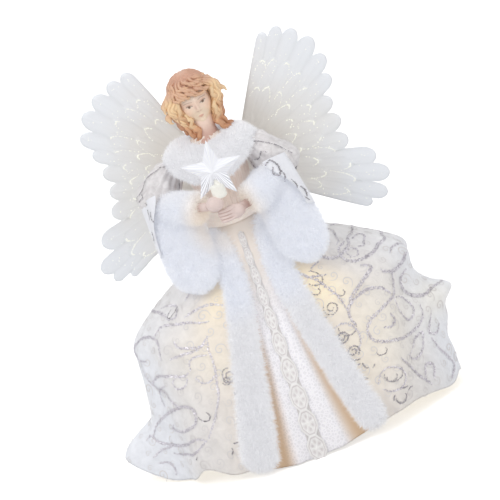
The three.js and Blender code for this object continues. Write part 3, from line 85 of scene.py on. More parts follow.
# The feathers of the left and the right wing from the top to the foot: degrees above level, and length from the root
FEATHERS = {
    1: [
        (61, 107), (56, 114), (50, 116), (42.5, 116), (34.5, 110), (27, 101), (18.5, 90),
        (8, 88), (-3, 88), (-13, 107), (-20, 117), (-27.5, 117), (-32.5, 107),
    ],
    -1: [
        (65.5, 106), (58.5, 109), (50, 112), (41.5, 113), (33, 109), (27, 97), (18.5, 88),
        (8, 84), (-3, 87), (-14, 105), (-22.5, 118), (-28, 115), (-32, 103),
    ],
}
# Where the wings are hinged, and how they lean back and sweep
WING_ROOT = (0.0, 31.0, 205.0)
WING_LEAN = 8.0
WING_SWEEP = {1: 11.0, -1: 3.0}
WING_FAN, WING_REACH = (-39.5, 72.5), (8, 122)  # degrees and millimetres from the hinge that a wing may fill
HINGE_X = 9.0
FEATHER_START = 18.0  # from the hinge to where a feather begins

# Printed scrolls of the skirt's front: width, then places as degrees from the front and millimetres down
VINES = [
    (2.2, [(105.5, 44), (68.5, 44), (48, 50), (40, 50), (37, 46), (39, 44)]),
    (1.6, [(52, 44), (65, 40), (77, 36), (74, 34), (64.5, 35)]),
    (1.6, [(101, 32), (90, 35), (103, 39), (106, 44), (100, 45)]),
    (2.2, [(97, 48), (102.5, 53), (86, 55), (67, 57), (54, 59), (45, 58), (43, 53), (49.5, 47), (59, 44)]),
    (1.2, [(46, 55), (49, 51), (54, 50), (54, 53), (49, 56), (47.5, 54)]),
    (1.6, [(66, 46), (75.5, 46), (72, 49), (61.5, 52), (57, 51)]),
    (2.4, [(74, 71), (68, 73), (61, 76), (55, 76), (50.5, 73), (49.5, 70)]),
    (1.4, [(63, 65), (71, 63), (78, 64), (79, 68)]),
    (2.4, [(65.5, 80), (60, 85), (59, 92), (63, 100), (70, 105), (81.5, 106), (93, 108)]),
    (2.4, [(44, 62), (47, 65), (45, 68), (39.5, 72), (34, 76), (30, 82), (28, 90), (29, 98)]),
    (2.2, [(55, 76), (53, 85), (51, 92), (44, 95), (36.5, 99), (33, 106), (34, 114), (38.5, 120),
        (47.5, 125), (57, 125), (62, 119), (64, 109)]),
    (2.0, [(30, 84), (34, 80), (40, 79), (46.5, 83), (50, 90)]),
    (1.6, [(40, 109), (43, 111), (46, 108), (45, 101)]),
    (1.4, [(51, 94), (51.5, 105), (55, 115), (58.5, 113), (59.5, 106), (56, 97), (52, 94)]),
    (1.4, [(50, 139), (48, 143), (51, 148), (56, 142), (60, 130), (54.5, 132), (50.5, 138)]),
    (1.6, [(69, 119), (65.5, 125), (63, 132), (67, 137), (73, 134)]),
    (2.2, [(42, 140), (46, 151), (49.5, 163), (54, 174)]),
    (2.0, [(63, 137), (64.5, 148), (68.5, 161), (71, 172), (66, 175), (64, 177)]),
    (1.8, [(52, 168), (55, 156), (58, 159), (56, 170)]),
    (1.8, [(19, 47), (21, 53), (23.5, 59), (25, 68), (27, 76), (28, 86)]),
    (1.4, [(20.5, 54), (24.5, 56), (29, 58)]),
    (1.2, [(24, 52), (28.5, 49), (33, 48)]),
    (1.3, [(20, 94), (24, 93), (27, 96), (29, 103), (28.5, 111), (26, 116)]),
    (1.2, [(29, 150), (32, 143), (36, 142), (40, 148), (41, 156), (38, 163), (33, 162), (30, 156)]),
    (2.0, [(-102, 53), (-71, 51), (-56.5, 56)]),
    (2.0, [(-70.5, 82), (-82.5, 80), (-89, 76), (-85, 70), (-73, 65), (-61.5, 66), (-56, 72), (-56, 81)]),
    (1.8, [(-63, 64), (-61, 59), (-51.5, 58), (-40.5, 59), (-28, 61)]),
    (1.8, [(-45, 55), (-39, 52), (-31, 50), (-21, 53)]),
    (1.6, [(-47, 68), (-44, 73), (-39.5, 75), (-34, 76), (-29.5, 75)]),
    (1.8, [(-50.5, 81), (-43, 79), (-36.5, 78), (-32, 76), (-28.5, 70)]),
    (1.6, [(-28.5, 70), (-29, 80), (-29, 91), (-30.5, 104), (-32, 116), (-37, 131), (-42.5, 150)]),
    (1.8, [(-74, 102), (-65, 94), (-53.5, 93), (-47, 95), (-42.5, 93)]),
    (1.6, [(-77, 89), (-76, 97), (-70, 104), (-62.5, 106), (-59.5, 113), (-55, 119)]),
    (2.2, [(-85, 151), (-82, 137), (-69, 125), (-54, 119), (-46, 121), (-45, 128), (-48, 138), (-58, 139),
        (-67.5, 137), (-64.5, 133)]),
    (2.0, [(-88, 159), (-86, 152), (-80, 152), (-72, 151), (-52, 151), (-43.5, 152)]),
    (1.6, [(-84, 167), (-80, 157), (-72, 151)]),
    (1.6, [(-82, 169), (-78, 166), (-75, 170), (-75, 178)]),
    (1.6, [(-74, 158), (-63, 158), (-50, 162), (-43.5, 152)]),
    (1.2, [(-48, 94), (-44.5, 96), (-46.5, 102), (-51, 103), (-52.5, 98), (-50, 94)]),
    (1.2, [(-41, 92), (-39, 84), (-34.5, 82), (-30, 83)]),
    (1.2, [(-39, 97), (-37, 101), (-33.5, 102), (-30, 98)]),
    (1.6, [(-76.5, 49), (-67, 47), (-56, 49), (-52, 54), (-58, 55)]),
    (1.6, [(-51, 45), (-51.5, 40), (-58, 36)]),
    (1.4, [(-69, 120), (-71, 112), (-67.5, 105), (-60, 101)]),
]

# Foil marks: kind, degrees from the front, millimetres down, size, which way it starts, and width
FOIL = [
    ("stroke", 19, 38, 3.2, 66, 0.9), ("hook", 18.5, 47, 5.0, 69, 1.1), ("hook", 23, 56, 6.5, -159, 0.8),
    ("hook", 20, 65, 3.2, 151, 0.8), ("stroke", 18, 83, 3.2, 149, 1.2), ("stroke", 17, 88, 2.3, 94, 0.8),
    ("curl", 22.5, 102, 5.0, 171, 1.2), ("hook", 26, 97, 6.5, 163, 0.7), ("curl", 24.5, 115, 4.6, -60, 1.2),
    ("stroke", 24, 121, 3.9, 150, 1.0), ("stroke", 24.5, 126, 1.4, 156, 1.0), ("stroke", 27, 130, 3.4, 112, 1.2),
    ("stroke", 30, 134, 1.4, -135, 0.8), ("stroke", 25.5, 139, 2.3, 114, 1.0), ("hook", 36, 171, 4.5, 157, 1.2),
    ("hook", 37, 149, 7.5, 150, 0.7), ("stroke", 38.5, 164, 3.3, 157, 0.9), ("stroke", 33, 168, 2.0, 60, 1.1),
    ("curl", 22.5, 80, 5.5, 144, 0.7), ("hook", 28.5, 73, 2.5, 166, 0.7), ("hook", 35.5, 125, 4.2, 165, 0.7),
    ("hook", 35.5, 151, 4.0, 145, 0.7), ("stroke", 41, 168, 2.2, 20, 1.0),
    ("stroke", -19, 87, 1.8, 130, 0.9), ("curl", -24, 101, 6.0, 78, 0.9), ("curl", -26, 104, 3.4, 200, 0.7),
    ("stroke", -23.5, 116, 3.2, 108, 1.4), ("stroke", -24, 127, 2.5, 103, 1.1), ("stroke", -31, 154, 1.7, 180, 1.2),
    ("stroke", -34, 160, 3.0, -111, 0.9), ("stroke", -51.5, 167, 1.9, -162, 0.9), ("hook", -59, 50, 5.0, 173, 0.7),
    ("hook", -41, 128, 4.6, -174, 0.7),
]

# Running scrolls round the skirt's back: millimetres down, and degrees round where each begins
BACK_SCROLLS = ((56, 114), (98, 106), (141, 116))
SCROLL_RUN, SCROLL_REPEAT, SCROLL_SWING = 132.0, 33.0, 9.0  # degrees, degrees and millimetres
PRINT_REACH = 95.0  # mean reach of the skirt where marks are stamped
PRINT_END = 0.975  # share of the way down where prints stop short of the hem
# Flakes of the prints, and the small woven curls
GLITTER = {"Density": 2.6e6, "Size": 0.8 * MM, "Seed": 3}
FOIL_FLAKES = {"Density": 4.5e6, "Size": 0.7 * MM, "Seed": 3}
CURLS = {"Spacing": 11.0 * MM, "Density": 4e4, "Size": 3.2 * MM, "Rise": 0.45 * MM, "Seed": 8}

# The lace ribbon and its medallions at the top and at the hem, and the panel's length
RIBBON_WIDTHS = (4.5, 13.0)
FLOWER_WIDTHS, FLOWER_HEIGHTS = (5.2, 13.8), (13.0, 22.0)
PANEL_LENGTH = 196.0

# Both sleeves' ends at the shoulder and past the elbow
SLEEVES = {
    "left": ((29.5, 0.2, 232.9), (56.8, -10.6, 201.1)),
    "right": ((-32.8, -0.2, 231.5), (-59.5, -12.7, 202.6)),
}

# Both cuffs' upper and lower ends
CUFFS = {"left": ((34, -14, 214), (53, -46, 139)), "right": ((-41, -13, 215), (-34, -50, 142))}
# Where fur wraps the wrists, from inside a cuff to its mouth
WRISTS = {"cuff_left": ((46, -17, 205), (23, -41, 198)), "cuff_right": ((-46, -17, 205), (-16.5, -42, 203.5))}
WRIST_RADIUS = 11.0
LAP_PLACE = (0.0, -0.045, 0.192)  # middle of the warm light between the cuffs, in metres
CUFF_MIDDLE = 0.168  # height of the cuffs, in metres: their fur is cooler than the collar's and the trims'
# Foil lines of the sleeves and of the bells over the cuffs: places as degrees round and hundredths of the length, width
SLEEVE_LINES = {
    "left": [
        ([(-150, 85), (-145, 50), (-130, 20), (-95, 8), (-60, 18), (-40, 50), (-28, 85)], 0.7),
        ([(-125, 30), (-105, 40), (-80, 38), (-70, 50)], 0.6), ([(-135, 88), (-110, 80), (-80, 86)], 0.6),
    ],
    "right": [
        ([(-160, 90), (-152, 50), (-138, 18), (-110, 6)], 0.7), ([(-45, 10), (-32, 50), (-38, 85)], 0.7),
        ([(-150, 70), (-135, 78), (-140, 88)], 0.8), ([(-120, 84), (-90, 90), (-62, 84)], 0.6),
    ],
}
BELL_LINES = {
    "left": [
        ([(72, 6), (58, 4), (48, 12), (56, 20), (66, 16), (60, 11)], 1.3), ([(50, 14), (46, 22), (54, 28)], 1.0),
        ([(34, 28), (28, 34), (32, 38)], 1.2), ([(20, 36), (10, 42), (14, 48)], 1.3), ([(24, 47), (12, 52)], 0.9),
    ],
    "right": [([(50, 14), (44, 20), (52, 25)], 0.8), ([(40, 10), (34, 20)], 0.7), ([(20, 30), (12, 40)], 0.8)],
}


def rgb(code):
    """An sRGB hex colour as linear red, green, blue and alpha."""
    shares = [int(code[i : i + 2], 16) / 255 for i in (1, 3, 5)]
    return tuple(c / 12.92 if c <= 0.04045 else ((c + 0.055) / 1.055) ** 2.4 for c in shares) + (1.0,)


def colour_of(name, description, code):
    """A setting for a colour."""
    return bpy.props.FloatVectorProperty(name=name, description=description, subtype="COLOR", size=4, default=rgb(code))


def length_of(name, description, metres):
    """A setting for a length."""
    return bpy.props.FloatProperty(name=name, description=description, default=metres, unit="LENGTH")


def angle_of(name, description, degrees):
    """A setting for an angle."""
    return bpy.props.FloatProperty(name=name, description=description, default=math.radians(degrees), subtype="ANGLE")


class TopperDress(bpy.types.PropertyGroup):
    """Cloth of the skirt, the panel and the sleeves."""

    cloth: length_of("Cloth", "Thickness of the skirt's cloth", 0.5 * MM)
    gathers: bpy.props.IntProperty(name="Gathers", description="Small gathers round the waist", default=44)
    organza: colour_of("Organza", "Colour of the overskirt", "#eeecec")
    lamp_light: colour_of("Lamp light", "Colour of the lamps behind the cloth", "#ffe08a")


class TopperFur(bpy.types.PropertyGroup):
    """Pile of the collar, cuffs and trims."""

    length: length_of("Pile", "Length of the hairs", 4.6 * MM)
    width: length_of("Hair", "Width of one hair, drawn coarser than a real one to show", 0.22 * MM)
    per_area: bpy.props.FloatProperty(
        name="Density", description="Hairs for each square metre", default=6.0e6, min=0.0
    )
    colour: colour_of("Colour", "Colour of the pile", "#fefeff")


class TopperWings(bpy.types.PropertyGroup):
    """Moulded feathers."""

    barb: length_of("Barbs", "Spacing of the barbs on a feather", 2.2 * MM)
    bead: length_of("Glitter", "Width of one grain on the light lines", 0.75 * MM)
    pearl: colour_of("Pearl", "Colour of the plastic", "#eae6df")


class TopperHead(bpy.types.PropertyGroup):
    """Paint on the resin head and hands."""

    skin: colour_of("Skin", "Colour of the face", "#f8dcc8")
    crown: colour_of("Crown", "Colour of the hair's top", "#d6a890")
    curls: colour_of("Curls", "Colour of the hair's sides", "#f3cb9c")
    hands: colour_of("Hands", "Colour of the hands", "#e8d4ce")


class TopperStage(bpy.types.PropertyGroup):
    """Camera and light."""

    azimuth: angle_of("Azimuth", "Camera's turn to the doll's left", 10)
    elevation: angle_of("Elevation", "Camera's height over level", 15)
    roll: angle_of("Roll", "How far the camera leans over", 20)
    distance: length_of("Distance", "Camera to the object", 5.0)
    view_width: length_of("View", "Width that the picture shows", 0.385)


# Numbers and meshes


def tone(code):
    """A hex colour as an array."""
    return np.array(rgb(code))


def lerp(a, b, share):
    """From a to b by a share."""
    return a + (b - a) * share


def smooth(x, low, high):
    """A soft step from nought at low to one at high."""
    share = np.clip((x - low) / (high - low), 0.0, 1.0)
    return share * share * (3 - 2 * share)


def bump(x, centre, breadth):
    """A soft swelling, one at its centre."""
    return np.exp(-(((x - centre) / breadth) ** 2))


def cos_sin(degrees):
    """Cosine and sine of an angle in degrees."""
    return math.cos(math.radians(degrees)), math.sin(math.radians(degrees))


def circle(count):
    """Angles evenly round a circle."""
    return np.linspace(0, 2 * math.pi, count, endpoint=False)


def stacked(*axes):
    """Points from coordinates that fill up one grid."""
    return np.stack(np.broadcast_arrays(*axes), -1)


def turned(points, degrees):
    """Points turned about Z."""
    c, s = cos_sin(degrees)
    x, y, z = np.moveaxis(np.asarray(points, float), -1, 0)
    return np.stack([x * c - y * s, x * s + y * c, z], -1)


def rounded(t, power, least):
    """How wide a body is along its length from nought to one, rounded off at both ends."""
    return np.sqrt(np.clip(1 - (2 * t - 1) ** power, least, 1))


def unit(vectors):
    """Vectors made one long."""
    return vectors / np.maximum(np.linalg.norm(vectors, axis=-1, keepdims=True), 1e-9)


def smooth_path(points, steps):
    """A path through control points, sampled evenly between each two of them."""
    p = np.asarray(points, float)
    p = np.vstack([2 * p[0] - p[1], p, 2 * p[-1] - p[-2]])
    t = np.linspace(0, 1, steps, endpoint=False)[:, None]
    parts = []
    for a, b, c, d in zip(p, p[1:], p[2:], p[3:]):
        parts.append(
            0.5 * (2 * b + (c - a) * t + (2 * a - 5 * b + 4 * c - d) * t**2 + (3 * b - a - 3 * c + d) * t**3)
        )
    return np.vstack(parts + [p[-2:-1]])


def new_object(name, data):
    """An object of a mesh, a lamp or a camera, in the scene."""
    piece = bpy.data.objects.new(name, data)
    bpy.context.scene.collection.objects.link(piece)
    return piece


def mesh_of(name, points, faces, uvs=None):
    """A smooth mesh from points in millimetres."""
    mesh = bpy.data.meshes.new(name)
    mesh.from_pydata((np.asarray(points, float).reshape(-1, 3) * MM).tolist(), [], faces)
    mesh.polygons.foreach_set("use_smooth", [True] * len(mesh.polygons))
    if uvs is not None:
        corners = np.zeros(len(mesh.loops), dtype=np.int32)
        mesh.loops.foreach_get("vertex_index", corners)
        layer = mesh.uv_layers.new(name="UVMap")
        layer.data.foreach_set("uv", np.asarray(uvs, np.float32).reshape(-1, 2)[corners].ravel())
    mesh.update()
    return mesh


def paint(mesh, colours):
    """Lays a colour on every vertex."""
    layer = mesh.color_attributes.new("Paint", "FLOAT_COLOR", "POINT")
    layer.data.foreach_set("color", np.asarray(colours, np.float32).ravel())


def grid_faces(rows, columns, around=False, flip=False, first=0):
    """Faces of a grid of points, closed round its columns where asked."""
    faces = []
    for i in range(rows - 1):
        for j in range(columns if around else columns - 1):
            k = (j + 1) % columns
            a, b = first + i * columns, first + (i + 1) * columns
            face = (a + j, a + k, b + k, b + j)
            faces.append(face[::-1] if flip else face)
    return faces


def capped(rows, columns):
    """Faces of a closed body of rings, with a flat cap at each end."""
    last = (rows - 1) * columns
    return grid_faces(rows, columns, around=True) + [tuple(range(columns)), tuple(range(last, last + columns))]


def tube(path, radius, sides=12, flat=1.0, ridges=0, ridge_depth=0.0, up=(0.0, 0.0, 1.0)):
    """Points and faces of a closed tube along a path, with rounded ends and lengthwise ridges."""
    path = np.asarray(path, float)
    along = unit(np.gradient(path, axis=0))
    side = np.cross(along, np.asarray(up, float))
    side[np.linalg.norm(side, axis=1) < 0.05] = (1.0, 0.0, 0.0)
    side = unit(side)
    lift = np.cross(side, along)
    turn = circle(sides)
    radius = np.broadcast_to(np.asarray(radius, float), (len(path),))
    reach = 1 + ridge_depth * np.cos(ridges * turn)
    ring = (
        path[:, None]
        + radius[:, None, None] * (reach * np.cos(turn))[None, :, None] * side[:, None]
        + flat * radius[:, None, None] * (reach * np.sin(turn))[None, :, None] * lift[:, None]
    )
    points = np.vstack([ring.reshape(-1, 3), path[:1], path[-1:]])
    count = len(path)
    faces = grid_faces(count, sides, around=True, flip=True)
    foot, tip = count * sides, count * sides + 1
    last = (count - 1) * sides
    faces += [(foot, j, (j + 1) % sides) for j in range(sides)]
    faces += [(tip, last + (j + 1) % sides, last + j) for j in range(sides)]
    return points, faces


def joined(parts):
    """Several (points, faces) as one."""
    points, faces, first = [], [], 0
    for p, f in parts:
        points.append(np.asarray(p, float).reshape(-1, 3))
        faces += [tuple(i + first for i in face) for face in f]
        first += len(points[-1])
    return np.vstack(points), faces


def facing_out(mesh):
    """Turns a closed mesh's faces outwards."""
    shape = bmesh.new()
    shape.from_mesh(mesh)
    bmesh.ops.recalc_face_normals(shape, faces=shape.faces)
    shape.to_mesh(mesh)
    shape.free()
    return mesh


def applied(piece, name):
    """The piece with its modifiers applied, as a plain mesh at the origin."""
    bpy.context.view_layer.update()
    shape = piece.evaluated_get(bpy.context.evaluated_depsgraph_get())
    mesh = bpy.data.meshes.new_from_object(shape)
    bpy.data.objects.remove(piece)
    mesh.name = name
    return new_object(name, mesh)


def remeshed(piece, name, voxel, rounds):
    """The piece as one even skin, smoothed over."""
    remesh = piece.modifiers.new("Remesh", "REMESH")
    remesh.mode, remesh.voxel_size, remesh.use_smooth_shade = "VOXEL", voxel, True
    relax = piece.modifiers.new("Relax", "SMOOTH")
    relax.factor, relax.iterations = 0.5, rounds
    return applied(piece, name)


def walled(piece, thickness, offset=0.0, inside=0):
    """Gives a cloth its thickness, and its inner side the material that lies so many slots on."""
    wall = piece.modifiers.new("Cloth", "SOLIDIFY")
    wall.thickness, wall.offset, wall.material_offset = thickness, offset, inside
    return piece


def softened(node, voxel, rounds, inset=0.0, extra=None):
    """A rounded copy of a CAD solid, with one more form where given: merged, remeshed, smoothed and drawn in."""
    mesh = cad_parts[node].data.copy()
    shape = bmesh.new()
    shape.from_mesh(mesh)
    if extra:
        shape.from_mesh(extra)
    bmesh.ops.remove_doubles(shape, verts=shape.verts, dist=1e-6)
    shape.to_mesh(mesh)
    shape.free()
    mesh.materials.clear()
    piece = remeshed(new_object(node + "_form", mesh), node + "_soft", voxel, rounds)
    places = np.zeros(3 * len(piece.data.vertices))
    normals = np.zeros_like(places)
    piece.data.vertices.foreach_get("co", places)
    piece.data.vertices.foreach_get("normal", normals)
    piece.data.vertices.foreach_set("co", places - inset * normals)
    piece.data.update()
    return piece


def moved(piece, to):
    """Moves a piece's vertices by a function of their places in millimetres."""
    places = np.zeros(3 * len(piece.data.vertices))
    piece.data.vertices.foreach_get("co", places)
    piece.data.vertices.foreach_set("co", (to(places.reshape(-1, 3) / MM) * MM).ravel())
    piece.data.update()
    return piece


def grown(piece, tree, name, **sizes):
    """Runs a node tree on a piece once, and keeps the result as a plain mesh."""
    modifier = piece.modifiers.new(tree.name, "NODES")
    modifier.node_group = tree
    for socket in tree.interface.items_tree:
        if socket.in_out == "INPUT" and socket.name in sizes:
            modifier[socket.identifier] = sizes[socket.name]
    return applied(piece, name)


def placed(piece, body, slot, *nodes):
    """Hands a finished piece to the frame."""
    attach(piece, body)
    if nodes:
        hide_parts(*nodes)
    return piece


# Node trees


def add(tree, kind, sockets=None, **settings):
    """Adds a node with its settings, and fills or links its sockets."""
    node = tree.nodes.new(kind)
    for key, value in settings.items():
        setattr(node, key, value)
    for key, value in (sockets or {}).items():
        if isinstance(value, bpy.types.NodeSocket):
            tree.links.new(value, node.inputs[key])
        else:
            node.inputs[key].default_value = value
    return node


def surface(name, **sockets):
    """A new material and its tree, with constants set on its shader."""
    material = bpy.data.materials.new(name)
    material.use_nodes = True
    shader = material.node_tree.nodes["Principled BSDF"]
    for key, value in sockets.items():
        shader.inputs[key.replace("_", " ")].default_value = value
    return material, material.node_tree


def dressed(material, **sockets):
    """Links what a material's nodes give to its shader."""
    tree = material.node_tree
    for key, socket in sockets.items():
        tree.links.new(socket, tree.nodes["Principled BSDF"].inputs[key.replace("_", " ")])
    return material


def grained(tree, scale, detail, distortion=0.0):
    """A fine noise in the object's own frame."""
    place = add(tree, "ShaderNodeTexCoord").outputs["Object"]
    sockets = {"Vector": place, "Scale": scale, "Detail": detail, "Distortion": distortion}
    return add(tree, "ShaderNodeTexNoise", sockets).outputs["Fac"]


def tree_with(name, *inputs):
    """A geometry tree with a mesh input, named inputs for its sizes and a mesh output."""
    tree = bpy.data.node_groups.new(name, "GeometryNodeTree")
    tree.interface.new_socket("Geometry", in_out="INPUT", socket_type="NodeSocketGeometry")
    for label, kind in inputs:
        tree.interface.new_socket(label, in_out="INPUT", socket_type="NodeSocket" + kind)
    tree.interface.new_socket("Geometry", in_out="OUTPUT", socket_type="NodeSocketGeometry")
    return tree, add(tree, "NodeGroupInput").outputs


def varied(tree, size, least, most, seed):
    """A size that differs from point to point, between two shares of the size given."""
    share = add(tree, "FunctionNodeRandomValue", {2: least, 3: most, 8: seed}, data_type="FLOAT")
    return add(tree, "ShaderNodeMath", {0: share.outputs[1], 1: size}, operation="MULTIPLY").outputs[0]


def spun(tree, facing, seed):
    """A rotation with a chance turn about its own axis."""
    spin = add(tree, "FunctionNodeRandomValue", {2: 0.0, 3: 2 * math.pi, 8: seed}, data_type="FLOAT")
    about = add(tree, "FunctionNodeAxisAngleToRotation", {"Axis": (0.0, 0.0, 1.0), "Angle": spin.outputs[1]})
    turns = {0: facing, 1: about.outputs[0]}
    return add(tree, "FunctionNodeRotateRotation", turns, rotation_space="LOCAL").outputs[0]


def sown(tree, source, **sockets):
    """A copy of an object on every point."""
    shape = add(tree, "GeometryNodeObjectInfo", {"Object": source}).outputs["Geometry"]
    return add(tree, "GeometryNodeInstanceOnPoints", {"Instance": shape, **sockets}).outputs[0]


def ended(tree, geometry, material):
    """Ends a geometry tree with real meshes in their material."""
    real = add(tree, "GeometryNodeRealizeInstances", {"Geometry": geometry})
    painted = add(tree, "GeometryNodeSetMaterial", {"Geometry": real.outputs[0], "Material": material})
    add(tree, "NodeGroupOutput", {"Geometry": painted.outputs[0]})
    return tree


# Materials


def acrylic_fur():
    # Acrylic pile, brushed up: matt white hairs that differ a little, cream in the warm light of the lap;
    # the hairs give off a little light of their own, a painted glow that lifts the shade among them
    fur = bpy.context.scene.topper_fur
    material, tree = surface(
        "acrylic fur", Roughness=0.9, Sheen_Weight=0.25, Sheen_Roughness=0.5, Specular_IOR_Level=0.2,
        Emission_Strength=0.11,
    )
    each = add(tree, "ShaderNodeNewGeometry").outputs["Random Per Island"]
    place = add(tree, "ShaderNodeTexCoord").outputs["Object"]
    away = add(tree, "ShaderNodeVectorMath", {0: place, 1: LAP_PLACE}, operation="DISTANCE").outputs["Value"]
    lap = add(
        tree, "ShaderNodeMapRange", {"Value": away, 1: 0.038, 2: 0.016}, interpolation_type="SMOOTHSTEP"
    ).outputs[0]
    height = add(tree, "ShaderNodeSeparateXYZ", {0: place}).outputs[2]
    beyond = add(tree, "ShaderNodeMath", {0: height, 1: CUFF_MIDDLE}, operation="SUBTRACT").outputs[0]
    beyond = add(tree, "ShaderNodeMath", {0: beyond}, operation="ABSOLUTE").outputs[0]
    off_cuffs = add(tree, "ShaderNodeMapRange", {"Value": beyond, 1: 0.04, 2: 0.057}).outputs[0]
    cool = add(tree, "ShaderNodeMix", {0: each, 6: rgb("#eef1f9"), 7: tuple(fur.colour)}, data_type="RGBA").outputs[2]
    plain = add(tree, "ShaderNodeMix", {0: each, 6: rgb("#efeff1"), 7: rgb("#fdfdff")}, data_type="RGBA").outputs[2]
    pile = add(tree, "ShaderNodeMix", {0: off_cuffs, 6: cool, 7: plain}, data_type="RGBA").outputs[2]
    colour = add(tree, "ShaderNodeMix", {0: lap, 6: pile, 7: rgb("#fbf3ea")}, data_type="RGBA").outputs[2]
    return dressed(material, Base_Color=colour, Emission_Color=colour)


def polyester_organza(name, within):
    # Sheer polyester weave over lamps: cream near the furs, cool white at the hem and round the sides,
    # a painted shade of cloth turned from the light; lit where a lamp stands behind, a glow painted into its colour
    # as well as given off, and by a little light of the same lamps `within` the skirt
    dress = bpy.context.scene.topper_dress
    material, tree = surface(
        name, Roughness=0.55, Sheen_Weight=0.2, Specular_IOR_Level=0.35,
        Emission_Color=tuple(dress.lamp_light),
    )
    dye_and_painted_light = add(tree, "ShaderNodeAttribute", attribute_name="Paint").outputs["Color"]
    glow = add(tree, "ShaderNodeAttribute", attribute_name="Glow").outputs["Fac"]
    crinkle = grained(tree, 170.0, 4.0, 0.6)
    shade = add(tree, "ShaderNodeMapRange", {"Value": crinkle, 1: 0.3, 2: 0.7, 3: 0.93, 4: 1.03}).outputs[0]
    colour = add(tree, "ShaderNodeVectorMath", {0: dye_and_painted_light, "Scale": shade}, operation="SCALE").outputs[0]
    light = add(tree, "ShaderNodeMath", {0: glow, 1: shade, 2: within}, operation="MULTIPLY_ADD").outputs[0]
    relief = add(tree, "ShaderNodeBump", {"Strength": 0.35, "Distance": 0.0012, "Height": crinkle})
    return dressed(material, Base_Color=colour, Emission_Strength=light, Normal=relief.outputs[0])


def glitter_print(name, low):
    # Flakes of silver glitter in clear size: each flake takes the light on its own
    material, tree = surface(name, Metallic=0.55, Roughness=0.38)
    each = add(tree, "ShaderNodeNewGeometry").outputs["Random Per Island"]
    colour = add(tree, "ShaderNodeMix", {0: each, 6: rgb(low), 7: rgb("#f2eff4")}, data_type="RGBA")
    return dressed(material, Base_Color=colour.outputs[2])


def woven_curls():
    # Curls woven into the sheer cloth: thread a shade darker than the ground, matt
    material, tree = surface("woven polyester thread", Roughness=0.7)
    fade = grained(tree, 60.0, 2.0)
    colour = add(tree, "ShaderNodeMix", {0: fade, 6: rgb("#d8d2d0"), 7: rgb("#f1efef")}, data_type="RGBA")
    return dressed(material, Base_Color=colour.outputs[2])


def foil_print():
    # Hot-stamped foil: dark bright silver with small breaks in it
    material, tree = surface("silver foil", Metallic=0.9, Roughness=0.22)
    worn = grained(tree, 700.0, 3.0)
    colour = add(tree, "ShaderNodeMix", {0: worn, 6: rgb("#4c494d"), 7: rgb("#bdb9bf")}, data_type="RGBA")
    return dressed(material, Base_Color=colour.outputs[2])


def panel_satin():
    # Polyester satin under a net of fine lace: white in the middle, cream in the folds along both furs, partly the
    # satin's own colour and partly painted shade, and tan close to the furs, a painted shade
    material, tree = surface("polyester satin", Roughness=0.45, Sheen_Weight=0.15)
    place = add(tree, "ShaderNodeTexCoord").outputs["Object"]
    dye_and_painted_light = add(tree, "ShaderNodeAttribute", attribute_name="Paint")
    # The net's meshes are drawn 2.5 mm wide, coarser than bobbin net, so that they show
    net = add(
        tree, "ShaderNodeTexVoronoi", {"Vector": place, "Scale": 400.0}, feature="DISTANCE_TO_EDGE"
    ).outputs["Distance"]
    holes = add(tree, "ShaderNodeMapRange", {"Value": net, 1: 0.04, 2: 0.2, 3: 1.03, 4: 0.9}).outputs[0]
    covered = add(tree, "ShaderNodeMix", {0: dye_and_painted_light.outputs["Alpha"], 2: 1.0, 3: holes}).outputs[0]
    laced = add(tree, "ShaderNodeVectorMath", {0: dye_and_painted_light.outputs["Color"], "Scale": covered}, operation="SCALE").outputs[0]
    relief = add(tree, "ShaderNodeBump", {"Strength": 0.3, "Distance": 0.0004, "Height": covered})
    return dressed(material, Base_Color=laced, Normal=relief.outputs[0])


def cotton_lace():
    # Machine lace of cotton thread: white cords over lilac-grey gaps, the grey a painted shade, with a fine twist that
    # breaks up the light
    material, tree = surface("cotton lace", Roughness=0.8, Sheen_Weight=0.2)
    cords = add(tree, "ShaderNodeAttribute", attribute_name="Paint").outputs["Color"]
    twist = grained(tree, 1400.0, 2.0)
    shade = add(tree, "ShaderNodeMapRange", {"Value": twist, 3: 0.88, 4: 1.04}).outputs[0]
    colour = add(tree, "ShaderNodeVectorMath", {0: cords, "Scale": shade}, operation="SCALE").outputs[0]
    relief = add(tree, "ShaderNodeBump", {"Strength": 0.5, "Distance": 0.0004, "Height": twist})
    return dressed(material, Base_Color=colour, Normal=relief.outputs[0])


def silver_lame():
    # Sheer lame woven with metal thread: pale lilac silver that flickers along its crinkles
    material, tree = surface("silver lame", Metallic=0.12, Roughness=0.45, Sheen_Weight=0.2)
    crinkle = grained(tree, 240.0, 4.0, 0.8)
    spread = add(tree, "ShaderNodeMapRange", {"Value": crinkle, 1: 0.32, 2: 0.66}).outputs[0]
    colour = add(tree, "ShaderNodeMix", {0: spread, 6: rgb("#d0cccd"), 7: rgb("#e4e1e2")}, data_type="RGBA")
    relief = add(tree, "ShaderNodeBump", {"Strength": 0.4, "Distance": 0.0008, "Height": crinkle})
    return dressed(material, Base_Color=colour.outputs[2], Normal=relief.outputs[0])


def beige_chiffon(name, low, high, light=0.0):
    # Pleated polyester chiffon: beige, with soft thread streaks along the pleats, and a painted glow of its own,
    # as strong as `light`, that lifts its shade
    material, tree = surface(name, Roughness=0.5, Sheen_Weight=0.25, Emission_Strength=light)
    place = add(tree, "ShaderNodeTexCoord").outputs["Object"]
    stretched = add(tree, "ShaderNodeMapping", {"Vector": place, "Scale": (900.0, 900.0, 90.0)}).outputs[0]
    streaks = add(tree, "ShaderNodeTexNoise", {"Vector": stretched, "Scale": 1.0, "Detail": 3.0}).outputs["Fac"]
    colour = add(tree, "ShaderNodeMix", {0: streaks, 6: rgb(low), 7: rgb(high)}, data_type="RGBA")
    relief = add(tree, "ShaderNodeBump", {"Strength": 0.3, "Distance": 0.0004, "Height": streaks})
    return dressed(material, Base_Color=colour.outputs[2], Emission_Color=colour.outputs[2], Normal=relief.outputs[0])


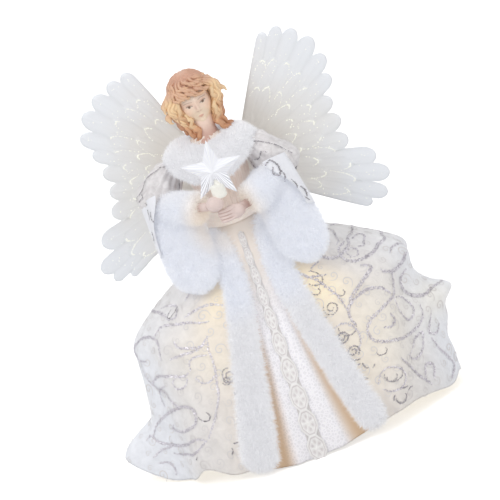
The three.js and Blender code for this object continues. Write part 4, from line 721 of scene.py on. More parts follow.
def painted_resin(name, rough):
    # Cast resin with brushed paint: the colours lie in the mesh, mottled by the brush, under a thin satin lacquer
    material, tree = surface(name, Roughness=rough, Coat_Weight=0.15, Coat_Roughness=0.35)
    brushed = add(tree, "ShaderNodeAttribute", attribute_name="Paint").outputs["Color"]
    brush = grained(tree, 420.0, 3.0)
    shade = add(tree, "ShaderNodeMapRange", {"Value": brush, 3: 0.9, 4: 1.06}).outputs[0]
    colour = add(tree, "ShaderNodeVectorMath", {0: brushed, "Scale": shade}, operation="SCALE").outputs[0]
    relief = add(tree, "ShaderNodeBump", {"Strength": 0.12, "Distance": 0.0004, "Height": brush})
    return dressed(material, Base_Color=colour, Normal=relief.outputs[0])


def pearl_plastic():
    # Thin pearlescent styrene, vacuum-formed: milky, a little warm in the thick of the wing and cool at the tips
    wings = bpy.context.scene.topper_wings
    material, tree = surface("pearl styrene", Roughness=0.33, Coat_Weight=0.25, Coat_Roughness=0.3)
    place = add(tree, "ShaderNodeTexCoord").outputs["Object"]
    root = tuple(MM * v for v in WING_ROOT)
    away = add(tree, "ShaderNodeVectorMath", {0: place, 1: root}, operation="DISTANCE").outputs["Value"]
    cloud = grained(tree, 40.0, 2.0)
    drift = add(tree, "ShaderNodeMath", {0: cloud, 1: 0.04, 2: away}, operation="MULTIPLY_ADD").outputs[0]
    out = add(tree, "ShaderNodeMapRange", {"Value": drift, 1: 0.055, 2: 0.135}, interpolation_type="SMOOTHSTEP")
    colour = add(
        tree, "ShaderNodeMix", {0: out.outputs[0], 6: tuple(wings.pearl), 7: rgb("#f1f4f9")}, data_type="RGBA"
    )
    # Painted shade along the feathers' edges, laid in the mesh
    edge_shade = add(tree, "ShaderNodeAttribute", attribute_name="Paint").outputs["Color"]
    shaded = add(tree, "ShaderNodeVectorMath", {0: colour.outputs[2], 1: edge_shade}, operation="MULTIPLY").outputs[0]
    fine = grained(tree, 900.0, 2.0)
    relief = add(tree, "ShaderNodeBump", {"Strength": 0.08, "Distance": 0.0003, "Height": fine})
    return dressed(material, Base_Color=shaded, Normal=relief.outputs[0])


def lit_material(name, colour, glow, strength, rough=0.3):
    # Clear plastic lit from inside: brightest in the middle, paler by a fine moulding grain
    material, tree = surface(name, Roughness=rough, Emission_Strength=strength)
    grain = grained(tree, 350.0, 2.0)
    shade = add(tree, "ShaderNodeMix", {0: grain, 6: rgb(colour), 7: rgb(glow)}, data_type="RGBA")
    return dressed(material, Base_Color=shade.outputs[2], Emission_Color=shade.outputs[2])


def star_acrylic():
    # Frosted acrylic with rays moulded from the middle outwards: clearest between the rays of the lower points
    material, tree = surface("frosted star acrylic", Roughness=0.4, Emission_Strength=0.17)
    place = add(tree, "ShaderNodeTexCoord").outputs["Object"]
    middle = tuple(MM * STAR_CENTRE)
    offset = add(tree, "ShaderNodeVectorMath", {0: place, 1: middle}, operation="SUBTRACT").outputs[0]
    x, _, z = add(tree, "ShaderNodeSeparateXYZ", {0: offset}).outputs
    angle = add(tree, "ShaderNodeMath", {0: x, 1: z}, operation="ARCTAN2").outputs[0]
    rays = add(
        tree, "ShaderNodeTexNoise", {"W": angle, "Scale": 14.0, "Detail": 2.0}, noise_dimensions="1D"
    ).outputs["Fac"]
    ray = add(tree, "ShaderNodeMapRange", {"Value": rays, 1: 0.4, 2: 0.6}).outputs[0]
    low = add(tree, "ShaderNodeMapRange", {"Value": z, 1: -0.004, 2: -0.012}).outputs[0]
    colour = add(tree, "ShaderNodeMix", {0: ray, 6: rgb("#dfe0e6"), 7: rgb("#f0f1f5")}, data_type="RGBA").outputs[2]
    gaps = add(tree, "ShaderNodeMapRange", {"Value": ray, 3: 0.55, 4: 0.0}).outputs[0]
    clear = add(tree, "ShaderNodeMath", {0: gaps, 1: low}, operation="MULTIPLY").outputs[0]
    solid = add(tree, "ShaderNodeMath", {0: 1.0, 1: clear}, operation="SUBTRACT").outputs[0]
    return dressed(material, Base_Color=colour, Emission_Color=colour, Alpha=solid)


def moulded(name, low, high, rough, metal=0.0, grain=500.0):
    # Moulded or drawn stock: an even colour with a fine tooling grain in colour and gloss
    material, tree = surface(name, Metallic=metal)
    tooling = grained(tree, grain, 3.0)
    colour = add(tree, "ShaderNodeMix", {0: tooling, 6: rgb(low), 7: rgb(high)}, data_type="RGBA")
    gloss = add(tree, "ShaderNodeMapRange", {"Value": tooling, 3: rough - 0.08, 4: rough + 0.08})
    relief = add(tree, "ShaderNodeBump", {"Strength": 0.1, "Distance": 0.0002, "Height": tooling})
    return dressed(material, Base_Color=colour.outputs[2], Roughness=gloss.outputs[0], Normal=relief.outputs[0])


# Skirt


def skirt_point(turn, share, out=0.0):
    """The bell of the skirt in millimetres, by degrees from the front and the share of the way down."""
    turn, share = np.broadcast_arrays(np.asarray(turn, float) % 360.0, np.asarray(share, float))
    angle = np.radians(turn)
    left = np.sin(angle) > 0
    side = 0.92 * smooth(share, 0, np.where(left, 0.42, 0.44)) + 0.08 * share
    wide = lerp(WAIST_WIDE, np.where(left, HEM_LEFT, HEM_RIGHT), side)
    hem = np.where(np.cos(angle) > 0, HEM_FRONT, HEM_BACK)
    deep = lerp(WAIST_DEEP, hem, np.sin(0.5 * math.pi * share))
    away = np.abs(np.where(turn > 180, turn - 360, turn))
    clear = smooth(away, 24, 60)
    fold = lerp(3.5, 6.0, smooth(away, 90, 130)) * smooth(share, 0.25, 1)
    fold = fold * np.cos(9 * angle + 1.5 * share) * clear
    spout = 17 * bump(share, 0.63, 0.05) + 8 * bump(share, 0.73, 0.08) - 8 * bump(share, 0.47, 0.07)
    corner = 30 * smooth(share, 0.78, 1.02)
    reach = out + fold + bump(turn, 93, 15) * spout + bump(turn, 263, 16) * corner
    lift = 1.5 * (1 + np.cos(7 * angle)) * clear
    for at, breadth, height in HEM_WAVES:
        lift = lift + height * bump(turn, at, breadth)
    level = lerp(SKIRT_TOP_Z, 1.0, share) + lift * smooth(share, 0.55, 1)
    return np.stack([(wide + reach) * np.sin(angle), -(deep + reach) * np.cos(angle), level], -1)


def skirt_width(share):
    """Half the skirt's plain width, without its folds."""
    return lerp(WAIST_WIDE, HEM_LEFT, 0.92 * smooth(share, 0, 0.42) + 0.08 * share)


def opening_turn(share):
    """Half the front opening, in degrees."""
    spread = lerp(-10.0, 31.0, share)
    half = 16.0 + 0.5 * (spread + np.sqrt(spread**2 + 16))
    return np.degrees(np.arcsin(np.minimum(0.9, half / skirt_width(share))))


def cloth_point(turn, share, out=0.0):
    """The skirt with its gathers and small creases, turned as the dress has slewed."""
    turn, share = np.broadcast_arrays(np.asarray(turn, float), np.asarray(share, float))
    angle = np.radians(turn)
    gathers = bpy.context.scene.topper_dress.gathers
    away = np.abs(np.where(turn % 360 > 180, turn % 360 - 360, turn % 360))
    clear = smooth(away, 20, 40) * smooth(share, 0.05, 0.3)
    pucker = 0.7 * np.cos(gathers * angle) * np.exp(-share / 0.1)
    crease = (
        0.9 * np.sin(17 * angle + 9 * share + 1.3)
        + 0.7 * np.sin(-23 * angle + 21 * share + 0.4)
        + 0.6 * np.sin(7 * angle - 33 * share + 2.1)
    )
    return turned(skirt_point(turn, share, out + pucker + 0.8 * crease * clear), SKIRT_TURN)


def panel_point(across, share, out=0.0):
    """The front panel behind the opening, by the share across it and down it."""
    across, share = np.broadcast_arrays(np.asarray(across, float), np.asarray(share, float))
    edge = opening_turn(share)
    tuck = np.degrees(3.0 / skirt_width(share))
    turn = lerp(-edge - tuck, edge + tuck, across)
    beside = smooth(np.abs(across - 0.5), 0.1, 0.2)
    pleat = 2.2 * smooth(share, 0.1, 0.9) * ((np.cos(6 * math.pi * across) - 1) * 0.5 * beside + beside - 1)
    return turned(skirt_point(turn, share, -3 * smooth(share, 0.1, 0.4) - 1.0 + pleat + out), SKIRT_TURN)


def ribbon(point_at, path, width, rise):
    """A flat band along a path of a surface: point_at gives the surface, path its two coordinates."""
    step = 0.01
    here = point_at(path[:, 0], path[:, 1], rise)
    aside = point_at(path[:, 0] + step, path[:, 1], rise) - here
    below = point_at(path[:, 0], path[:, 1] + step * 0.01, rise) - here
    normal = unit(np.cross(below, aside))
    along = unit(np.gradient(here, axis=0))
    half = unit(np.cross(normal, along)) * (0.5 * np.asarray(width, float).reshape(-1, 1))
    rows = np.stack([here - half, here, here + half], 1)
    return rows.reshape(-1, 3), grid_faces(len(path), 3)


def printed(point_at, line, width, rise):
    """A printed band along a path of a surface, narrow at both ends."""
    taper = width * np.sqrt(np.sin(math.pi * np.linspace(0.06, 0.94, len(line))))
    return ribbon(point_at, line, taper, rise)


def flake_shape():
    """A flat flake one unit long."""
    corners = [(-500, -300, 0), (500, -300, 0), (500, 300, 0), (-500, 300, 0)]
    return new_object("flake", mesh_of("flake", corners, [(0, 1, 2, 3)]))


def flake_tree(flake, material):
    """Scatters flakes over a band, lying nearly flat."""
    tree, given = tree_with("Glitter flakes", ("Density", "Float"), ("Size", "Float"), ("Seed", "Int"))
    spots = add(
        tree, "GeometryNodeDistributePointsOnFaces",
        {"Mesh": given["Geometry"], "Density": given["Density"], "Seed": given["Seed"]},
    )
    tilt = add(
        tree, "FunctionNodeRandomValue", {0: (-0.35,) * 3, 1: (0.35,) * 3, 8: given["Seed"]}, data_type="FLOAT_VECTOR"
    )
    lean = add(tree, "ShaderNodeVectorMath", {0: spots.outputs["Normal"], 1: tilt.outputs[0]}, operation="ADD")
    upright = add(tree, "FunctionNodeAlignRotationToVector", {"Vector": lean.outputs[0]}, axis="Z")
    size = varied(tree, given["Size"], 0.6, 1.3, given["Seed"])
    flakes = sown(tree, flake, Points=spots.outputs["Points"], Rotation=upright.outputs[0], Scale=size)
    return ended(tree, flakes, material)


def curl_tree(curl, material):
    """Lays small curls over a cloth, apart from one another and each turned its own way."""
    tree, given = tree_with(
        "Small curls", ("Spacing", "Float"), ("Density", "Float"), ("Size", "Float"), ("Rise", "Float"), ("Seed", "Int")
    )
    spots = add(
        tree, "GeometryNodeDistributePointsOnFaces",
        {
            "Mesh": given["Geometry"], "Distance Min": given["Spacing"], "Density Max": given["Density"],
            "Seed": given["Seed"],
        },
        distribute_method="POISSON",
    )
    off = add(tree, "ShaderNodeVectorMath", {0: spots.outputs["Normal"], "Scale": given["Rise"]}, operation="SCALE")
    raised = add(tree, "GeometryNodeSetPosition", {"Geometry": spots.outputs["Points"], "Offset": off.outputs[0]})
    facing = spun(tree, spots.outputs["Rotation"], given["Seed"])
    size = varied(tree, given["Size"], 0.6, 1.3, given["Seed"])
    curls = sown(tree, curl, Points=raised.outputs[0], Rotation=facing, Scale=size)
    return ended(tree, curls, material)


def curl_shape():
    """A flat curl about three units wide, of a long tail that winds in."""
    t = np.linspace(0, 1, 24)
    angle = 9.0 * t**1.2
    reach = lerp(1.6, 0.15, t**0.7)
    line = np.stack([reach * np.cos(angle), reach * np.sin(angle)], -1)
    along = unit(np.gradient(line, axis=0))
    half = 0.1 * np.sqrt(np.sin(math.pi * lerp(0.05, 0.95, t)))[:, None]
    half = half * np.stack([-along[:, 1], along[:, 0]], -1)
    flat = np.stack([line - half, line + half], 1).reshape(-1, 2)
    return mesh_of("curl", 1e3 * np.concatenate([flat, np.zeros((len(flat), 1))], 1), grid_faces(len(t), 2))


def foil_path(kind, turn, down, size, spin):
    """The middle line of a stamped mark, as degrees from the front and the share of the way down."""
    t = np.linspace(0, 1, 24)
    if kind == "stroke":
        x, y = lerp(1, -1, t), 0.25 * np.sin(math.pi * t)
    else:
        sweep, inner = {"hook": (230, 0.8), "curl": (560, 0.25)}[kind]
        angle, reach = np.radians(sweep) * t, lerp(1.0, inner, t)
        x, y = reach * np.cos(angle), reach * np.sin(angle)
    c, s = cos_sin(spin)
    across, up = size * (x * c - y * s), size * (x * s + y * c)
    return np.stack([turn + np.degrees(across / PRINT_REACH), (down - up) / SKIRT_FALL], -1)


class TOPPER_OT_overskirt(bpy.types.Operator):
    """Makes the sheer overskirt and its printed scrolls"""

    bl_idname = "topper.overskirt"
    bl_label = "Overskirt"

    def execute(self, context):
        dress = context.scene.topper_dress
        rows, columns = 110, 280
        share = np.linspace(0, 1, rows)[:, None]
        edge = opening_turn(share)
        turn = lerp(edge, 360 - edge, np.linspace(0, 1, columns)[None, :])
        points = cloth_point(turn, share)
        uvs = stacked(turn * 1.6, share * 200.0)
        mesh = mesh_of("overskirt", points, grid_faces(rows, columns, flip=True), uvs)
        mesh.materials.append(polyester_organza("polyester organza", 0.0))
        mesh.materials.append(polyester_organza("polyester organza inside", 0.1))
        away = np.abs(np.where(turn > 180, turn - 360, turn))
        beside = smooth(away, 46, 18) * (0.35 + 0.65 * smooth(share, 0.5, 0.12))
        cream = np.clip(beside + 0.3 * smooth(away, 70, 25), 0, 1)[..., None]
        glow = 0 * share
        for turn0, share0, breadth, strength in LIT_PLACES:
            flat = np.hypot((turn - turn0 % 360) * 1.5, (share - share0) * 195.0)
            glow = glow + strength * np.exp(-((flat / breadth) ** 2))
        # Cool white where the cloth turns from the light, towards the sides and the hem: a painted shade
        cool = (smooth(away, 48, 75) * smooth(share, 0.2, 0.5))[..., None]
        dyed_and_shaded = lerp(np.array(dress.organza), tone("#f5e9dc"), cream)
        dyed_and_shaded = lerp(dyed_and_shaded, tone("#f4f6fc"), cool)
        # The lamps' glow is painted into the colour as well as given off as light
        paint(mesh, lerp(dyed_and_shaded, tone("#f5ebcd"), np.clip(3.2 * glow, 0, 1)[..., None]))
        glow = glow + 0.03 * smooth(share, 0.13, 0.03) * smooth(away, 80, 40)
        mesh.attributes.new("Glow", "FLOAT", "POINT").data.foreach_set("value", glow.astype(np.float32).ravel())
        skirt = walled(new_object("overskirt_cloth", mesh), dress.cloth, inside=1)
        placed(skirt, "figure", "organza", "overskirt")

        lines = [(1.25 * width, smooth_path(places, 8) / np.array((1.0, SKIRT_FALL))) for width, places in VINES]
        for down, first in BACK_SCROLLS:
            turns = np.linspace(first, first + SCROLL_RUN, 90)
            stem = down + SCROLL_SWING * np.sin(2 * math.pi * (turns - first) / SCROLL_REPEAT)
            lines.append((2.4, np.stack([turns, stem / SKIRT_FALL], -1)))
            for k in range(8):
                at, side = first + (k + 0.5) * SCROLL_REPEAT / 2, 2 * (k % 2) - 1
                lines.append((2.2, foil_path("curl", at, down + 2 * side, 11.0, 90 * side)))
        bold = [line for line in lines if line[1][0, 0] > 0]
        pale = [line for line in lines if line[1][0, 0] <= 0]
        marks = [(width, foil_path(*mark)) for *mark, width in FOIL]
        flake = flake_shape()
        for name, paths, finish, sizes in (
            ("skirt_glitter", bold, glitter_print("silver glitter", "#9c95a1"), GLITTER),
            ("skirt_glitter_pale", pale, glitter_print("pale silver glitter", "#b3adb8"), GLITTER),
            ("skirt_foil", marks, foil_print(), FOIL_FLAKES),
        ):
            bands = []
            for width, line in paths:
                line[:, 1] = np.minimum(line[:, 1], PRINT_END)
                bands.append(printed(cloth_point, line, width, 0.7))
            source = new_object("bands", mesh_of("bands", *joined(bands)))
            placed(grown(source, flake_tree(flake, finish), name, **sizes), "figure", "silver_cloth")
        bpy.data.objects.remove(flake)

        cloth = mesh_of("cloth", points, grid_faces(rows, columns, flip=True))
        curl = new_object("curl", curl_shape())
        tree = curl_tree(curl, woven_curls())
        placed(grown(new_object("cloth", cloth), tree, "skirt_curls", **CURLS), "figure", "organza")
        bpy.data.objects.remove(curl)
        return {"FINISHED"}


def lace_place(wide, share, out):
    """A place on the ribbon by millimetres from its middle and the share down the panel."""
    half = skirt_width(share) * np.radians(opening_turn(share)) + 3.0
    return panel_point(0.5 + wide / (2 * half), share, out)


def medallion():
    """One lace medallion a millimetre wide and tall: a long hexagon of cord with a flower of six open petals."""
    rings, spokes = 15, 48
    turn = circle(spokes)[None, :]
    out = np.linspace(0, 1, rings)[:, None]
    across, up = np.abs(np.sin(turn)), np.abs(np.cos(turn))
    reach = 0.5 / np.maximum(np.maximum(across, 0.98 * up), 0.72 * (across + up))
    x, z = out * reach * np.sin(turn), out * reach * np.cos(turn)
    cord = bump(out + 0 * turn, 0.9, 0.09)
    petal = bump(out, 0.45, 0.2) * (0.5 + 0.5 * np.cos(6 * turn))
    rib = bump(out, 0.5, 0.3) * smooth(np.cos(6 * turn), -0.5, -1.0)
    knot = bump(out + 0 * turn, 0.0, 0.1)
    lifted = np.clip(cord + rib + knot + 0.35 * bump(out + 0 * turn, 0.72, 0.08), 0, 1)
    y = -0.15 - 0.75 * lifted
    points = np.stack([x, y, z], -1)
    mesh = mesh_of("medallion", 1e3 * points, grid_faces(rings, spokes, around=True))
    # The open petals and the gap inside the cord are lilac-grey: a painted shade seen through the lace
    share = np.clip(1 - 0.7 * petal - 0.8 * bump(out + 0 * turn, 0.8, 0.05), 0, 1)[..., None]
    paint(mesh, lerp(tone("#cdc4c5"), tone("#fffdfc"), share))
    return mesh


def medallion_tree(shape, material):
    """Sets a medallion on each point, turned and sized by the point's own attributes."""
    tree, given = tree_with("Lace medallions")
    turn = add(tree, "GeometryNodeInputNamedAttribute", {"Name": "turn"}, data_type="FLOAT_VECTOR")
    size = add(tree, "GeometryNodeInputNamedAttribute", {"Name": "size"}, data_type="FLOAT_VECTOR")
    facing = add(tree, "FunctionNodeEulerToRotation", {0: turn.outputs[0]})
    scale = add(tree, "ShaderNodeVectorMath", {0: size.outputs[0], "Scale": MM}, operation="SCALE")
    stitched = sown(tree, shape, Points=given["Geometry"], Rotation=facing.outputs[0], Scale=scale.outputs[0])
    return ended(tree, stitched, material)


class TOPPER_OT_panel(bpy.types.Operator):
    """Makes the front panel and the lace ribbon on it"""

    bl_idname = "topper.panel"
    bl_label = "Front panel"

    def execute(self, context):
        rows, columns = 120, 90
        share = np.linspace(0, 1, rows)[:, None]
        across = np.linspace(0, 1, columns)[None, :]
        points = panel_point(across, share)
        mesh = mesh_of("panel", points, grid_faces(rows, columns, flip=True), stacked(across, share))
        mesh.materials.append(panel_satin())
        rim = np.abs(across - 0.5) + 0 * share
        # Cream along both furs and at the top, partly the satin's own colour and partly painted shade of the folds; tan
        # in the folds beside the furs, a painted shade
        cream = np.maximum(smooth(rim, 0.22, 0.34), smooth(share + 0 * across, 0.45, 0.12))[..., None]
        tan = (smooth(rim - 0.05 * (across > 0.5), 0.16, 0.32) * smooth(share, 0.25, 0.6))[..., None]
        dyed_and_shaded = lerp(lerp(tone("#fdfbff"), tone("#f8efe6"), cream), tone("#e3c4a2"), tan)
        dyed_and_shaded[..., 3:] = 1 - cream
        paint(mesh, dyed_and_shaded)
        panel = walled(new_object("front_panel_satin", mesh), context.scene.topper_dress.cloth)
        placed(panel, "figure", "satin", "front_panel")

        rows, columns = 150, 9
        share = np.linspace(0.06, 0.995, rows)[:, None]
        wide = np.linspace(-0.5, 0.5, columns)[None, :] * lerp(*RIBBON_WIDTHS, share)
        thread = cotton_lace()
        mesh = mesh_of("ribbon", lace_place(wide, share, 0.5), grid_faces(rows, columns, flip=True))
        mesh.materials.append(thread)
        paint(mesh, np.tile(tone("#e8e3e3"), (len(mesh.vertices), 1)))
        band = walled(new_object("lace_ribbon_net", mesh), 0.3 * MM)
        placed(band, "figure", "lace", "lace_ribbon")

        shares, sizes = [], []
        share = 0.085
        while share < 0.97:
            tall = lerp(*FLOWER_HEIGHTS, smooth(share, 0.0, 0.6))
            shares.append(share)
            sizes.append((lerp(*FLOWER_WIDTHS, smooth(share, 0.0, 0.9)), 1.0, tall))
            share += (tall + 0.3) / PANEL_LENGTH
        shares = np.array(shares)
        middle = lace_place(0.0 * shares, shares, 0.75)
        down = unit(lace_place(0.0 * shares, shares + 0.01, 0.75) - middle)
        aside = unit(lace_place(0.0 * shares + 1.0, shares, 0.75) - middle)
        front = unit(np.cross(down, aside))
        turns = [Matrix((a, -f, -d)).transposed().to_euler() for a, f, d in zip(aside, front, down)]
        source = mesh_of("medallions", middle, [])
        for label, values in (("turn", turns), ("size", sizes)):
            layer = source.attributes.new(label, "FLOAT_VECTOR", "POINT")
            layer.data.foreach_set("vector", np.array(values, np.float32).ravel())
        shape = new_object("medallion", medallion())
        tree = medallion_tree(shape, thread)
        flowers = grown(new_object("medallions", source), tree, "lace_medallions")
        placed(flowers, "figure", "lace")
        bpy.data.objects.remove(shape)
        return {"FINISHED"}


# Fur


def pile_tree(hair, material):
    """Stands hairs on a pad, ruffled and combed, and joins them to it."""
    tree, given = tree_with(
        "Fur pile", ("Density", "Float"), ("Length", "Float"), ("Width", "Float"), ("Ruffle", "Float"),
        ("Tufts", "Float"), ("Comb", "Vector"), ("Seed", "Int"),
    )
    spots = add(
        tree, "GeometryNodeDistributePointsOnFaces",
        {"Mesh": given["Geometry"], "Density": given["Density"], "Seed": given["Seed"]},
    )
    scatter = add(
        tree, "FunctionNodeRandomValue", {0: (-1.0,) * 3, 1: (1.0,) * 3, 8: given["Seed"]}, data_type="FLOAT_VECTOR"
    )
    ruffled = add(tree, "ShaderNodeVectorMath", {0: scatter.outputs[0], "Scale": given["Ruffle"]}, operation="SCALE")
    tufts = add(
        tree, "ShaderNodeTexNoise",
        {"Vector": add(tree, "GeometryNodeInputPosition").outputs[0], "Scale": 130.0, "Detail": 1.0},
    )
    parted = add(tree, "ShaderNodeVectorMath", {0: tufts.outputs["Color"], 1: (0.5,) * 3}, operation="SUBTRACT")
    parted = add(tree, "ShaderNodeVectorMath", {0: parted.outputs[0], "Scale": given["Tufts"]}, operation="SCALE")
    loose = add(tree, "ShaderNodeVectorMath", {0: ruffled.outputs[0], 1: parted.outputs[0]}, operation="ADD")
    combed = add(tree, "ShaderNodeVectorMath", {0: loose.outputs[0], 1: given["Comb"]}, operation="ADD")
    lean = add(tree, "ShaderNodeVectorMath", {0: spots.outputs["Normal"], 1: combed.outputs[0]}, operation="ADD")
    upright = add(tree, "FunctionNodeAlignRotationToVector", {"Vector": lean.outputs[0]}, axis="Z")
    facing = spun(tree, upright.outputs[0], given["Seed"])
    long = varied(tree, given["Length"], 0.65, 1.15, given["Seed"])
    size = add(tree, "ShaderNodeCombineXYZ", {0: given["Width"], 1: long, 2: long})
    hairs = sown(tree, hair, Points=spots.outputs["Points"], Rotation=facing, Scale=size.outputs[0])
    whole = add(tree, "GeometryNodeJoinGeometry")
    tree.links.new(hairs, whole.inputs[0])
    tree.links.new(given["Geometry"], whole.inputs[0])
    return ended(tree, whole.outputs[0], material)


def trim_pad(sign):
    """A flat pad along one edge of the skirt's opening, broader towards the hem."""
    rows, crown, sole = 120, 22, 8
    share = lerp(0.03, 0.985, np.linspace(0, 1, rows))[:, None]
    half = lerp(8.0, 9.5 if sign > 0 else 14.0, smooth(share, 0.0, 1.0))
    across = np.concatenate([np.cos(np.linspace(0, math.pi, crown)), np.linspace(-1, 1, sole + 2)[1:-1]])[None, :]
    raised = np.concatenate([np.sin(np.linspace(0, math.pi, crown)) ** 0.8, np.full(sole, -0.05)])[None, :]
    ends = rounded(np.linspace(0, 1, rows), 24, 0.04)[:, None]
    place = across * half * ends + 2.0 + (half - 8.0) * 0.35
    turn = sign * (opening_turn(share) + np.degrees(place / skirt_width(share)))
    points = turned(skirt_point(turn, share + 0 * turn, 5.0 * raised * ends + 0.5), SKIRT_TURN)
    return facing_out(mesh_of("trim", points, capped(rows, crown + sole)))


class TOPPER_OT_fur(bpy.types.Operator):
    """Makes the collar, the cuffs and the skirt's trims"""

    bl_idname = "topper.fur"
    bl_label = "Fur"

    def execute(self, context):
        fur = context.scene.topper_fur
        strip = [(-500, 0, 0), (500, 0, 0), (420, 110, 550), (-420, 110, 550), (0, 380, 1000)]
        hair = new_object("hair", mesh_of("hair", strip, [(0, 1, 2, 3), (3, 2, 4)]))
        tree = pile_tree(hair, acrylic_fur())
        for seed, node in enumerate(("collar", "cuff_left", "cuff_right", "trim_left", "trim_right")):
            wrist = None
            if node in WRISTS:
                wrist = facing_out(mesh_of("wrist", *tube(np.linspace(*WRISTS[node], 12), WRIST_RADIUS, 24)))
            if node.startswith("trim"):
                pad = new_object(node + "_pad", trim_pad(1 if node == "trim_left" else -1))
            else:
                pad = softened(node, 1.3 * MM, 8, (1.0 if node == "collar" else 0.8) * MM, wrist)
            if node == "collar":
                moved(pad, lambda p: p - np.array((0, 0, 1)) * 4.5 * smooth(np.hypot(*p.T[:2]), 28, 15)[:, None])
            loose = 1.3 if node.startswith("trim") else 1.0
            pile = grown(
                pad, tree, node + "_fur", Density=fur.per_area, Length=loose * fur.length, Width=fur.width,
                Ruffle=0.6 * loose, Tufts=1.8, Comb=(0.0, 0.0, -0.3), Seed=11 + seed,
            )
            placed(pile, "figure", "fur", node)
        bpy.data.objects.remove(hair)
        return {"FINISHED"}


# Bodice, sash and sleeves


def torso_radii(share):
    """Half the torso's width and depth, by the share of its height."""
    to_chest, to_shoulder, to_neck = smooth(share, 0.08, 0.55), smooth(share, 0.55, 0.8), smooth(share, 0.82, 1)
    wide = lerp(lerp(lerp(16.5, 22.0, to_chest), 28.0, to_shoulder), 9.5, to_neck)
    deep = lerp(lerp(lerp(12.5, 16.0, to_chest), 12.5, to_shoulder), 9.5, to_neck)
    return wide, deep


def sleeve_point(side, turn, s, out=0.0):
    """A puffed sleeve by degrees round it and the share from shoulder to cuff."""
    start, end = (np.array(p) for p in SLEEVES[side])
    turn, s = np.broadcast_arrays(np.radians(np.asarray(turn, float)), np.asarray(s, float))
    along = unit(end - start)
    aside = unit(np.cross(along, (0.0, 1.0, 0.0)))
    fore = np.cross(aside, along)
    ends = np.maximum(np.maximum(s - 0.78, 0) / 0.23, np.maximum(0.14 - s, 0) / 0.145)
    radius = lerp(11.0, 15.5, smooth(s, 0, 0.6)) * np.sqrt(np.clip(1 - ends**2, 0.05, 1))
    gather = 0.6 * np.cos(15 * turn + 2 * np.sin(5 * s)) * (0.3 + 0.7 * np.abs(2 * s - 1))
    crush = 0.8 * np.sin(3 * turn + 9 * s) + 0.5 * np.sin(5 * turn - 13 * s + 1)
    reach = (radius + gather + crush + out)[..., None]
    around = np.cos(turn)[..., None] * aside + np.sin(turn)[..., None] * fore
    return lerp(start, end, s[..., None]) + reach * around


def bell_point(side, turn, s, out=0.0):
    """The sleeve's bell over the cuff, by degrees from its outer side to the front and the share of its length."""
    start, end = (np.array(p) for p in CUFFS[side])
    turn, s = np.broadcast_arrays(np.radians(np.asarray(turn, float)), np.asarray(s, float))
    along = unit(end - start)
    fore = unit(np.cross(np.cross(along, (0.0, -1.0, 0.0)), along))
    outer = np.sign(start[0]) * unit(np.cross(fore, along) * np.sign(np.cross(fore, along)[0]))
    fold = 0.8 * np.sin(7 * turn + 5 * s)
    wide, deep = (22.5 + fold + out) * np.cos(turn), (16.0 + fold + out) * np.sin(turn)
    return lerp(start, end, s[..., None]) + wide[..., None] * outer + deep[..., None] * fore


